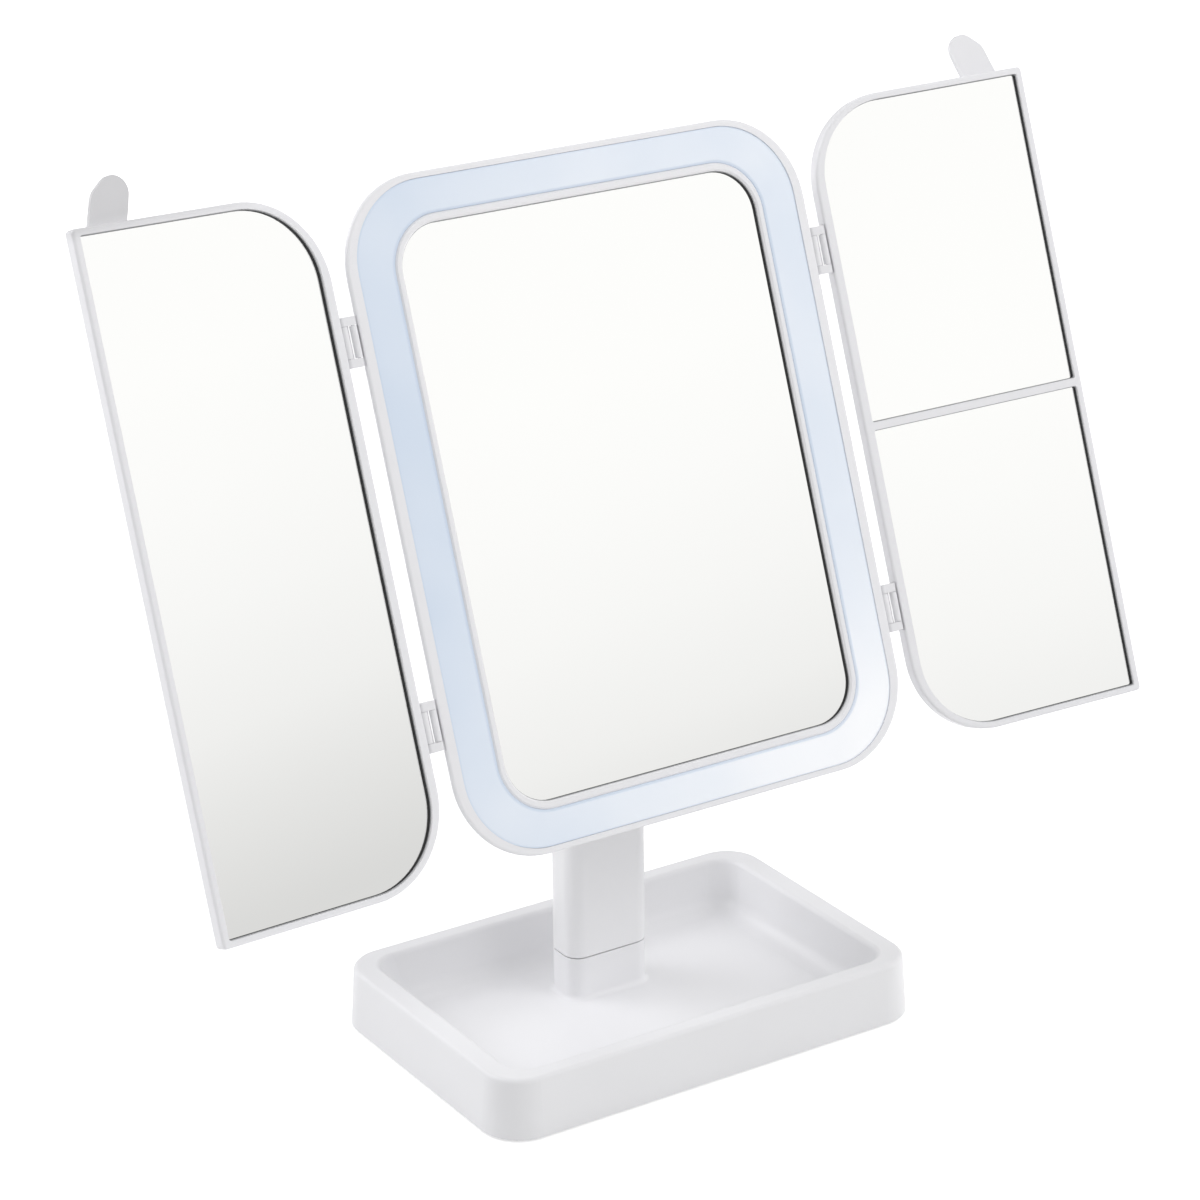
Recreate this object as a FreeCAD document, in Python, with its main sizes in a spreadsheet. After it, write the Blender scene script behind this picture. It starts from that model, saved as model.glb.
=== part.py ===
import FreeCAD, Part
import math
import os

import Sketcher

# Tabletop vanity mirror with three panels: a lighted centre panel on a tilting joint, two side
# panels on double-axis hinge links, one straight post and a tray base.
#
# The origin is the middle of the resting face (undersides of the rubber feet), +Z up, -Y front,
# +X to the right as the user sees it.  Millimetres.

DOC = FreeCAD.newDocument("TrifoldVanityMirror")
SHEET = DOC.addObject("Spreadsheet::Sheet", "Dims")
NODES = []


# ---------------------------------------------------------------------------------------------
# Sizes
# ---------------------------------------------------------------------------------------------

class Size:
    """A length or angle: its number and the sheet formula that gives it."""

    def __init__(self, value, text):
        self.value = value
        self.text = text

    def __add__(self, other):
        other = size(other)
        return Size(self.value + other.value, "(%s + %s)" % (self.text, other.text))

    def __radd__(self, other):
        return size(other) + self

    def __sub__(self, other):
        other = size(other)
        return Size(self.value - other.value, "(%s - %s)" % (self.text, other.text))

    def __rsub__(self, other):
        return size(other) - self

    def __mul__(self, other):
        other = size(other)
        return Size(self.value * other.value, "(%s * %s)" % (self.text, other.text))

    __rmul__ = __mul__

    def __truediv__(self, other):
        other = size(other)
        return Size(self.value / other.value, "(%s / %s)" % (self.text, other.text))

    def __neg__(self):
        return Size(-self.value, "(-1 * %s)" % self.text)


def size(value):
    """A plain number as a Size; a Size as it is."""
    return value if isinstance(value, Size) else Size(float(value), "%.6g" % value)


def slope(inset, height):
    """The draft angle of a wall that leans in by the inset over the height."""
    inset, height = size(inset), size(height)
    return Size(math.degrees(math.atan2(inset.value, height.value)),
                "atan(%s / %s)" % (inset.text, height.text))


class Dimensions:
    """The driving dimensions, one sheet row each, read back as Size attributes."""

    def __init__(self):
        self.row = 0

    def section(self, title):
        """A heading row in the sheet."""
        self.row += 1
        SHEET.set("A%d" % self.row, title)

    def add(self, alias, value, note):
        """One named value with its note."""
        self.row += 1
        SHEET.set("A%d" % self.row, alias)
        SHEET.set("B%d" % self.row, str(value))
        SHEET.set("C%d" % self.row, note)
        SHEET.setAlias("B%d" % self.row, alias)
        setattr(self, alias, Size(float(value), "Dims." + alias))


D = Dimensions()

D.section("Base tray")
D.add("BaseWidth", 182.0, "outer width at the bottom edge")
D.add("BaseDepth", 121.0, "outer depth at the bottom edge")
D.add("BaseHeight", 24.0, "rim above the table")
D.add("BaseDraft", 1.6, "inset of the rim's outer edge, each side")
D.add("BaseCorner", 16.0, "outer corner radius in plan")
D.add("RimRound", 1.8, "rounding of the rim's outer edge")
D.add("RimSide", 8.9, "rim width at the left and right")
D.add("RimFront", 7.3, "rim width at the front and back")
D.add("BasinCorner", 9.5, "basin corner radius at the rim")
D.add("BasinSlope", 5.0, "how far the basin wall leans in on its way down")
D.add("FloorTop", 5.2, "basin floor above the table")
D.add("FloorThick", 1.8, "basin floor thickness")
D.add("FloorRound", 8.0, "rounding between basin wall and floor")
D.add("BasinRimRound", 2.2, "rounding of the basin's rim edge")
D.add("ShellWall", 2.2, "wall of the tray moulding")
D.add("BasinWall", 2.5, "wall between basin and cavity at the rim")
D.add("FootStand", 1.0, "the feet stand below the tray by this")
D.add("CoverThick", 1.2, "bottom cover thickness")
D.add("WeightThick", 1.15, "ballast plate thickness")
D.add("FootRadius", 5.5, "rubber foot radius")
D.add("FootSink", 0.6, "depth of the foot's seat in the cover")
D.add("FootInset", 17.0, "foot centre from the tray's sides")
D.add("CoverScrewInset", 8.7, "cover screws from the tray's sides")
D.add("CoverScrewRadius", 1.2, "cover screw shank radius")
D.add("CoverBoss", 3.0, "cover screw boss radius")
D.add("CoverBossHigh", 9.0, "cover screw boss height")
D.add("CoverScrewGrip", 7.0, "cover screw length in its boss")
D.add("CoverFit", 0.15, "gap round the bottom cover")
D.add("ScrewSpare", 0.5, "free depth of a screw hole beyond the screw's tip")
D.add("PlateInset", 5.0, "ballast plate inside the basin's outline")

D.section("Post")
D.add("PostWidth", 34.6, "section width")
D.add("PostDepth", 17.8, "section depth")
D.add("PostCorner", 6.0, "corner radius of the section")
D.add("PostBack", 20.2, "post centre behind the middle of the base")
D.add("SeamHeight", 22.2, "top of the stub that stands in the tray")
D.add("SeamGap", 0.5, "shadow gap between stub and post")
D.add("StubWall", 2.6, "wall of the stub")
D.add("StubFoot", 2.0, "rounding at the foot of the stub")
D.add("StubFloor", 8.2, "solid part of the stub, above the table")
D.add("TongueFit", 0.1, "gap round the post's tongue in the stub")
D.add("PostWall", 2.4, "wall of the post moulding")
D.add("PostDoorWidth", 21.6, "width of the post's rear cover")
D.add("PostDoorThick", 1.6, "thickness of the post's rear cover")
D.add("NeckScrewX", 9.0, "screws into the tongue, from the middle")
D.add("NeckScrewRadius", 1.5, "their shank radius")

D.section("Tilt joint")
D.add("PivotHeight", 203.5, "tilt axis above the table")
D.add("PivotDepth", 28.2, "tilt axis behind the front face of the centre panel")
D.add("HeadTilt", 20.45, "lean of the centre panel from upright, degrees")
D.add("BarrelWidth", 24.0, "width of the post's barrel between the ears")
D.add("ShoulderDrop", 11.0, "post shoulders below the tilt axis")
D.add("EarRadius", 8.4, "radius of the ears")
D.add("WasherThick", 0.45, "friction washer thickness")
D.add("WasherGap", 0.05, "running gap at each friction washer")
D.add("WasherRadius", 7.0, "friction washer radius")
D.add("PinRadius", 3.0, "tilt pin radius")
D.add("PinFit", 0.05, "running gap round the tilt pin")
D.add("EarSink", 2.6, "counterbore in the ears for pin head and nut")
D.add("EarSinkRadius", 5.0, "its radius")
D.add("PinHeadThick", 1.6, "pin head and nut thickness")

D.section("Centre panel")
D.add("HeadWidth", 188.2, "outer width")
D.add("HeadHeight", 237.6, "outer height")
D.add("HeadCorner", 31.8, "outer corner radius")
D.add("FrameDepth", 3.6, "depth of the front frame")
D.add("FrameSide", 4.2, "visible rim width, left and right")
D.add("FrameEnds", 2.2, "visible rim width, top and bottom")
D.add("FrameRound", 1.2, "rounding of the rim's outer front edge")
D.add("FrameStraight", 1.5, "straight part of the frame's side, before it slopes back")
D.add("LedgeWidth", 1.3, "ledge that carries the diffuser")
D.add("ShellGap", 0.05, "parting gap between frame and rear shell")
D.add("BackDepth", 12.5, "depth of the flat back")
D.add("BackInset", 9.0, "flat back inset from the outline")
D.add("HeadWall", 1.8, "wall of the rear shell")
D.add("BoxWidth", 96.0, "housing on the back: width")
D.add("BoxHeight", 120.0, "housing on the back: height")
D.add("BoxDepth", 18.5, "housing on the back: its back face from the front face")
D.add("BoxCorner", 10.0, "housing on the back: corner radius")
D.add("BoxRound", 2.5, "housing on the back: edge rounding")
D.add("BoxWall", 2.0, "housing on the back: wall")
D.add("DiffuserSink", 0.3, "diffuser below the rim's front face")
D.add("DiffuserThick", 2.0, "diffuser thickness")
D.add("DiffuserSide", 14.3, "visible diffuser width, left and right")
D.add("DiffuserEnds", 12.55, "visible diffuser width, top and bottom")
D.add("DiffuserCorner", 29.0, "diffuser's outer corner radius")
D.add("DiffuserFit", 0.1, "gap round the diffuser")
D.add("LipSide", 2.6, "mirror lip width, left and right")
D.add("LipEnds", 2.9, "mirror lip width, top and bottom")
D.add("LipCorner", 19.0, "mirror lip's outer corner radius")
D.add("LipBevel", 0.6, "slope on the inner edge of the lip")
D.add("PanelFloor", 1.5, "mirror panel: floor thickness")
D.add("PanelFlange", 2.2, "mirror panel: flange under the diffuser")
D.add("FlangeThick", 1.2, "mirror panel: flange thickness")
D.add("BaffleDepth", 9.4, "light baffle behind the mirror panel, from the front face")
D.add("BaffleWall", 1.4, "light baffle wall")
D.add("BaffleInset", 0.5, "light baffle inside the mirror lip's outline")
D.add("GlassSink", 2.0, "glass below the front face")
D.add("GlassThick", 2.0, "glass thickness")
D.add("GlassGap", 0.3, "gap round the glass, filled by the tape's rim")
D.add("TapeFit", 0.03, "gap round the foam tape")
D.add("TapeThick", 0.4, "foam tape thickness behind the glass")
D.add("TapeSink", 0.9, "the tape's rim stands above the glass by this")
D.add("HeadScrewX", 62.0, "case screws from the middle, across")
D.add("HeadScrewZ", 88.0, "case screws from the middle, up and down")
D.add("HeadScrewRadius", 1.4, "case screw shank radius")
D.add("HeadScrewHead", 2.7, "case screw head radius")
D.add("CaseBoss", 4.4, "case screw boss radius")
D.add("CaseBossTop", 8.2, "front end of the case screw bosses")
D.add("CaseSink", 2.9, "counterbore of the case screws")
D.add("CasePost", 3.0, "radius of the mirror panel's screw posts")
D.add("CaseScrewGrip", 2.3, "case screw length in the posts")
D.add("CaseHeadThick", 1.7, "case screw head thickness")

D.section("Light and electronics")
D.add("LedBoardWidth", 4.6, "width of the light strip's board")
D.add("LedBoardThick", 0.9, "its thickness")
D.add("LedWide", 3.5, "light package, along the strip")
D.add("LedHigh", 2.8, "light package, across the strip")
D.add("LedThick", 1.1, "light package thickness")
D.add("LedPitch", 25.6, "distance between the lights")
D.add("BoardWidth", 60.0, "main board width")
D.add("BoardHeight", 36.0, "main board height")
D.add("BoardThick", 1.6, "main board thickness")
D.add("BoardDepth", 11.4, "main board's front face from the panel's front face")
D.add("BoardX", 12.0, "main board centre, across")
D.add("BoardZ", -38.0, "main board centre, up and down")
D.add("BoardPostRadius", 2.3, "main board post radius")
D.add("BoardPostInset", 4.0, "main board posts from its edges")
D.add("BoardScrewRadius", 1.0, "main board screw radius")
D.add("SocketWidth", 9.0, "charging socket width")
D.add("SocketThick", 3.2, "charging socket thickness")
D.add("SocketLong", 7.3, "charging socket length")
D.add("SocketX", 0.0, "charging socket centre, across")
D.add("SocketGap", 0.3, "gap round the charging socket in the housing")
D.add("BatteryWidth", 62.0, "battery pack width")
D.add("BatteryHeight", 42.0, "battery pack height")
D.add("BatteryThick", 6.8, "battery pack thickness")
D.add("BatteryZ", 18.0, "battery pack centre, up and down")
D.add("ButtonX", 30.0, "power button centre, across")
D.add("ButtonZ", -40.0, "power button centre, up and down")
D.add("ButtonRadius", 5.5, "power button radius")
D.add("ButtonGap", 0.15, "running gap round the power button")
D.add("ButtonRise", 1.0, "power button above the back face")
D.add("ButtonFlange", 1.2, "flange width of the power button")
D.add("ButtonTravel", 0.8, "power button travel")
D.add("SwitchSide", 6.2, "push switch body side")
D.add("SwitchThick", 1.6, "push switch body thickness")
D.add("PlungerRadius", 1.5, "push switch plunger radius")

D.section("Hinge links")
D.add("LinkAxisDepth", 1.55, "axis behind the panel's front face")
D.add("LinkRadius", 1.35, "end radius of a link")
D.add("LinkGap", 0.3, "gap round the ends of a link")
D.add("LinkNotch", 0.5, "how deep the ends of a link sit in the panels' sides")
D.add("LinkHeight", 17.4, "link height")
D.add("LinkBlock", 3.1, "height of a link's end blocks")
D.add("LinkSpine", 0.7, "thickness of the web between the knuckles")
D.add("LinkSpineFront", 0.5, "front face of that web behind the axes")
D.add("SpineGap", 0.2, "gap between that web and the knuckles")
D.add("LinkZ", 66.2, "links above and below the panel's middle")
D.add("LinkTurn", 3.2, "rest angle at each link axis, degrees")
D.add("KnuckleRadius", 1.35, "knuckle radius")
D.add("KnuckleWeb", 0.85, "thickness of the web that carries a knuckle")
D.add("KnuckleRoot", 2.2, "how far that web reaches into the panel's side")
D.add("KnuckleGap", 0.15, "running gap above and below a knuckle")
D.add("LinkPinRadius", 0.6, "hinge pin radius")
D.add("LinkPinFit", 0.04, "running gap round a hinge pin")

D.section("Side panels")
D.add("FoldedGap", 0.4, "gap between the side panels folded over the mirror")
D.add("WingHeight", 237.2, "outer height")
D.add("WingCorner", 31.5, "corner radius at the hinge side")
D.add("WingOuterCorner", 1.6, "corner radius at the free side")
D.add("WingHingeRim", 3.6, "rim width at the hinge side")
D.add("WingFreeRim", 2.6, "rim width at the free side")
D.add("WingEndRim", 2.4, "rim width at top and bottom")
D.add("WingRound", 1.1, "rounding of the front edge")
D.add("WingBackRound", 1.5, "rounding of the back edge")
D.add("WingFloor", 1.5, "floor thickness")
D.add("WingGlassSink", 1.9, "glass below the front face")
D.add("BarWidth", 2.9, "bar between the two magnifying mirrors")
D.add("BarLift", -0.3, "bar centre above the middle")
D.add("TabThick", 1.5, "finger tab thickness")
D.add("TabTopRadius", 5.6, "radius of the tab's top")
D.add("TabTopSide", 20.6, "centre of that round from the panel's free edge")
D.add("TabTopRise", 9.9, "centre of that round above the panel's top edge")
D.add("TabRadius", 6.9, "radius of the tab's body")
D.add("TabSide", 18.2, "centre of that round from the panel's free edge")
D.add("TabRise", 6.3, "centre of that round above the panel's top edge")
D.add("TabLean", 2.2, "the tab's foot leans outward by this at the top edge")
D.add("TabDrop", 8.0, "how far the tab reaches down behind the panel's top edge")

DOC.recompute()


# ---------------------------------------------------------------------------------------------
# Places
# ---------------------------------------------------------------------------------------------

AXES = {"x": "vector(1; 0; 0)", "y": "vector(0; 1; 0)", "z": "vector(0; 0; 1)"}


def place(x=0, y=0, z=0, axis="z", angle=0):
    """A placement formula: a turn about an axis, then a shift."""
    x, y, z, angle = size(x), size(y), size(z), size(angle)
    return "placement(vector(%s; %s; %s); rotation(%s; %s))" % (
        x.text, y.text, z.text, AXES[axis], angle.text)


POST = place(0, D.PostBack, 0)
HEAD = place(0, D.PostBack, D.PivotHeight, "x", -D.HeadTilt)
LINK_EDGE = D.LinkRadius + D.LinkGap - D.LinkNotch
LINK_PITCH = 2 * D.KnuckleRadius + D.LinkSpine + 2 * D.SpineGap
LINK_X = D.HeadWidth / 2 + LINK_EDGE
LINK_Y = D.LinkAxisDepth - D.PivotDepth


def link_place(side):
    """The link's own frame: on the head's hinge axis, turned to the rest angle."""
    return HEAD + " * " + place(side * LINK_X, LINK_Y, 0, "z", -side * D.LinkTurn)


def wing_place(side):
    """The side panel's own frame: on the link's outer axis, turned once more."""
    return link_place(side) + " * " + place(side * LINK_PITCH, 0, 0, "z", -side * D.LinkTurn)


# ---------------------------------------------------------------------------------------------
# Sketch helpers.  Each draws one closed outline and ties it to the sheet.
# ---------------------------------------------------------------------------------------------

def dimension(sketch, kind, args, value):
    """A driving dimension bound to a formula."""
    value = size(value)
    index = sketch.addConstraint(Sketcher.Constraint(kind, *args, value.value))
    name = "Size%d" % index
    sketch.renameConstraint(index, name)
    sketch.setExpression("Constraints." + name, value.text)


def fix_point(sketch, geometry, end, x=None, y=None):
    """Ties a point's coordinates to formulas."""
    if x is not None:
        dimension(sketch, "DistanceX", (-1, 1, geometry, end), x)
    if y is not None:
        dimension(sketch, "DistanceY", (-1, 1, geometry, end), y)


def circle(sketch, radius, x=0, y=0):
    """A circle."""
    radius, x, y = size(radius), size(x), size(y)
    centre = FreeCAD.Vector(x.value, y.value, 0)
    geometry = sketch.addGeometry(Part.Circle(centre, FreeCAD.Vector(0, 0, 1), radius.value), False)
    dimension(sketch, "Radius", (geometry,), radius)
    fix_point(sketch, geometry, 3, x, y)


def polygon(sketch, points):
    """Straight edges through the points, closed."""
    points = [(size(x), size(y)) for x, y in points]
    lines = []
    for (ax, ay), (bx, by) in zip(points, points[1:] + points[:1]):
        start = FreeCAD.Vector(ax.value, ay.value, 0)
        end = FreeCAD.Vector(bx.value, by.value, 0)
        lines.append(sketch.addGeometry(Part.LineSegment(start, end), False))
    for line, after in zip(lines, lines[1:] + lines[:1]):
        sketch.addConstraint(Sketcher.Constraint("Coincident", line, 2, after, 1))
    for line, (x, y) in zip(lines, points):
        fix_point(sketch, line, 1, x, y)


def rectangle(sketch, x0, x1, y0, y1):
    """A plain rectangle."""
    polygon(sketch, [(x0, y0), (x1, y0), (x1, y1), (x0, y1)])


def outline(sketch, width, height, radius, x=0, y=0, corners=None):
    """A rectangle with round corners.

    All corners have the given radius, or each its own, from the lower left one round
    counter-clockwise.
    """
    width, height, x, y = size(width), size(height), size(x), size(y)
    radii = [size(r) for r in (corners or [radius] * 4)]
    x0, x1, y0, y1 = x - width / 2, x + width / 2, y - height / 2, y + height / 2
    arcs = []
    for k, (r, (cx, cy)) in enumerate(zip(radii, ((x0, y0), (x1, y0), (x1, y1), (x0, y1)))):
        sx = 1 if cx is x0 else -1
        sy = 1 if cy is y0 else -1
        centre = FreeCAD.Vector(cx.value + sx * r.value, cy.value + sy * r.value, 0)
        round_edge = Part.Circle(centre, FreeCAD.Vector(0, 0, 1), r.value)
        start = math.radians(180 + 90 * k)
        arc = Part.ArcOfCircle(round_edge, start, start + math.pi / 2)
        arcs.append(sketch.addGeometry(arc, False))
    lines = []
    for arc, after in zip(arcs, arcs[1:] + arcs[:1]):
        segment = Part.LineSegment(sketch.getPoint(arc, 2), sketch.getPoint(after, 1))
        line = sketch.addGeometry(segment, False)
        sketch.addConstraint(Sketcher.Constraint("Tangent", arc, 2, line, 1))
        sketch.addConstraint(Sketcher.Constraint("Tangent", line, 2, after, 1))
        lines.append(line)
    for line, kind in zip(lines, ("Horizontal", "Vertical", "Horizontal", "Vertical")):
        sketch.addConstraint(Sketcher.Constraint(kind, line))
    for arc, r in zip(arcs, radii):
        dimension(sketch, "Radius", (arc,), r)
    fix_point(sketch, lines[0], 1, None, y0)
    fix_point(sketch, lines[1], 1, x1, None)
    fix_point(sketch, lines[2], 1, None, y1)
    fix_point(sketch, lines[3], 1, x0, None)


def stadium(sketch, ax, ay, bx, by, radius, end_radius=None):
    """Two round ends about A and B, joined by their tangents.  B may have its own radius."""
    ax, ay, bx, by, radius = size(ax), size(ay), size(bx), size(by), size(radius)
    end_radius = radius if end_radius is None else size(end_radius)
    start = FreeCAD.Vector(ax.value, ay.value, 0)
    end = FreeCAD.Vector(bx.value, by.value, 0)
    turn = math.degrees(math.atan2(end.y - start.y, end.x - start.x))
    half = math.degrees(math.acos((radius.value - end_radius.value) / start.distanceToPoint(end)))
    arcs = []
    for centre, r, first, sweep in ((end, end_radius, turn - half, 2 * half),
                                    (start, radius, turn + half, 360 - 2 * half)):
        round_edge = Part.Circle(centre, FreeCAD.Vector(0, 0, 1), r.value)
        arc = Part.ArcOfCircle(round_edge, math.radians(first), math.radians(first + sweep))
        arcs.append(sketch.addGeometry(arc, False))
    for arc, after in ((arcs[0], arcs[1]), (arcs[1], arcs[0])):
        segment = Part.LineSegment(sketch.getPoint(arc, 2), sketch.getPoint(after, 1))
        line = sketch.addGeometry(segment, False)
        sketch.addConstraint(Sketcher.Constraint("Tangent", arc, 2, line, 1))
        sketch.addConstraint(Sketcher.Constraint("Tangent", line, 2, after, 1))
    dimension(sketch, "Radius", (arcs[0],), end_radius)
    dimension(sketch, "Radius", (arcs[1],), radius)
    fix_point(sketch, arcs[0], 3, bx, by)
    fix_point(sketch, arcs[1], 3, ax, ay)


# ---------------------------------------------------------------------------------------------
# Feature helpers
# ---------------------------------------------------------------------------------------------

def node(obj, label, placement=None):
    """Names a finished sub-part and puts it in its place."""
    obj.Label = label
    if placement:
        obj.setExpression("Placement", placement)
    NODES.append(obj)
    return obj


def new_body(label, placement=None):
    """A PartDesign body that becomes one node."""
    return node(DOC.addObject("PartDesign::Body", "Body_" + label), label, placement)


def sketch_on(body, plane, offset=0):
    """A sketch on one of the body's origin planes, moved along the plane's normal."""
    origin = {feature.Role: feature for feature in body.Origin.OriginFeatures}
    sketch = body.newObject("Sketcher::SketchObject", body.Label + "_sketch")
    sketch.AttachmentSupport = [(origin[plane + "_Plane"], "")]
    sketch.MapMode = "FlatFace"
    sketch.setExpression("AttachmentOffset.Base.z", size(offset).text)
    return sketch


def at_depth(body, depth, front=None):
    """A sketch parallel to a panel's face, at a depth behind its front face."""
    front = D.PivotDepth if front is None else front
    return sketch_on(body, "XZ", front - depth)


def extrude(body, kind, sketch, length, **options):
    """A pad or a pocket."""
    feature = body.newObject("PartDesign::" + kind, body.Label + "_" + kind.lower())
    feature.Profile = (sketch, [""])
    for name, value in options.items():
        if isinstance(value, Size):
            feature.setExpression(name, value.text)
        else:
            setattr(feature, name, value)
    if length is not None:
        feature.setExpression("Length", size(length).text)
    DOC.recompute()
    return feature


def pad(body, sketch, length, **options):
    """Adds material along the sketch's normal."""
    return extrude(body, "Pad", sketch, length, **options)


def pocket(body, sketch, length, **options):
    """Cuts against the sketch's normal, and makes sure that something was cut."""
    before = body.Shape.Volume
    feature = extrude(body, "Pocket", sketch, length, **options)
    if body.Shape.Volume > before - 1e-6:
        raise RuntimeError("pocket cuts nothing in " + body.Label)
    return feature


def pad_back(body, sketch, length, **options):
    """Adds material towards the back of a panel."""
    return pad(body, sketch, length, Reversed=True, **options)


def loft(body, kind, sketches):
    """An additive or subtractive loft through the sketches."""
    feature = body.newObject("PartDesign::%sLoft" % kind, body.Label + "_loft")
    feature.Profile = (sketches[0], [""])
    feature.Sections = [(sketch, [""]) for sketch in sketches[1:]]
    feature.Ruled = True
    DOC.recompute()
    return feature


def round_edges(body, chosen, radius, kind="Fillet"):
    """Rounds (or chamfers) the tip's edges that the test picks."""
    tip = body.Tip
    names = ["Edge%d" % (i + 1) for i, edge in enumerate(tip.Shape.Edges) if chosen(edge)]
    if not names:
        raise RuntimeError("no edges to round in " + body.Label)
    feature = body.newObject("PartDesign::" + kind, body.Label + "_" + kind.lower())
    feature.Base = (tip, names)
    feature.setExpression("Radius" if kind == "Fillet" else "Size", size(radius).text)
    DOC.recompute()
    return feature


def in_plane(edge, axis, value, tolerance=0.01):
    """Whether an edge lies flat in the plane where that coordinate has that value."""
    box = edge.BoundBox
    low, high = getattr(box, axis.upper() + "Min"), getattr(box, axis.upper() + "Max")
    value = size(value).value
    return abs(low - value) < tolerance and abs(high - value) < tolerance


def within(edge, x=None, y=None, z=None):
    """Whether an edge's box stays inside the limits given."""
    box = edge.BoundBox
    for limits, low, high in ((x, box.XMin, box.XMax), (y, box.YMin, box.YMax),
                              (z, box.ZMin, box.ZMax)):
        if limits and (low < limits[0] - 0.01 or high > limits[1] + 0.01):
            return False
    return True


def cylinder(radius, height, x=0, y=0, z=0, axis="z"):
    """A Part cylinder from a base point along an axis."""
    obj = DOC.addObject("Part::Cylinder", "Cylinder")
    obj.setExpression("Radius", size(radius).text)
    obj.setExpression("Height", size(height).text)
    turn = {"z": ("z", 0), "y": ("x", -90), "x": ("y", 90)}[axis]
    obj.setExpression("Placement", place(x, y, z, turn[0], turn[1]))
    return obj


def cone(radius1, radius2, height, x=0, y=0, z=0):
    """A Part cone standing on its base point."""
    obj = DOC.addObject("Part::Cone", "Cone")
    obj.setExpression("Radius1", size(radius1).text)
    obj.setExpression("Radius2", size(radius2).text)
    obj.setExpression("Height", size(height).text)
    obj.setExpression("Placement", place(x, y, z))
    return obj


def block(x, y, z):
    """A Part box between coordinate pairs."""
    obj = DOC.addObject("Part::Box", "Block")
    for name, (low, high) in (("Length", x), ("Width", y), ("Height", z)):
        obj.setExpression(name, (size(high) - size(low)).text)
    obj.setExpression("Placement", place(x[0], y[0], z[0]))
    return obj


def fuse(*shapes):
    """Joins shapes into one solid."""
    obj = DOC.addObject("Part::MultiFuse", "Fusion")
    obj.Shapes = list(shapes)
    obj.Refine = True
    return obj


def cut(base, tool):
    """The base without the tool."""
    obj = DOC.addObject("Part::Cut", "Cut")
    obj.Base, obj.Tool = base, tool
    return obj


def group(shapes, label, placement=None):
    """Several separate solids in one node."""
    obj = DOC.addObject("Part::Compound", "Group_" + label)
    obj.Links = list(shapes)
    return node(obj, label, placement)


def corners_of(x, y):
    """The four places of a mirror-symmetric set."""
    return [(sx * size(x), sy * size(y)) for sx in (-1, 1) for sy in (-1, 1)]


# ---------------------------------------------------------------------------------------------
# Base
# ---------------------------------------------------------------------------------------------

COVER_SCREWS = corners_of(D.BaseWidth / 2 - D.CoverScrewInset, D.BaseDepth / 2 - D.CoverScrewInset)

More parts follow.
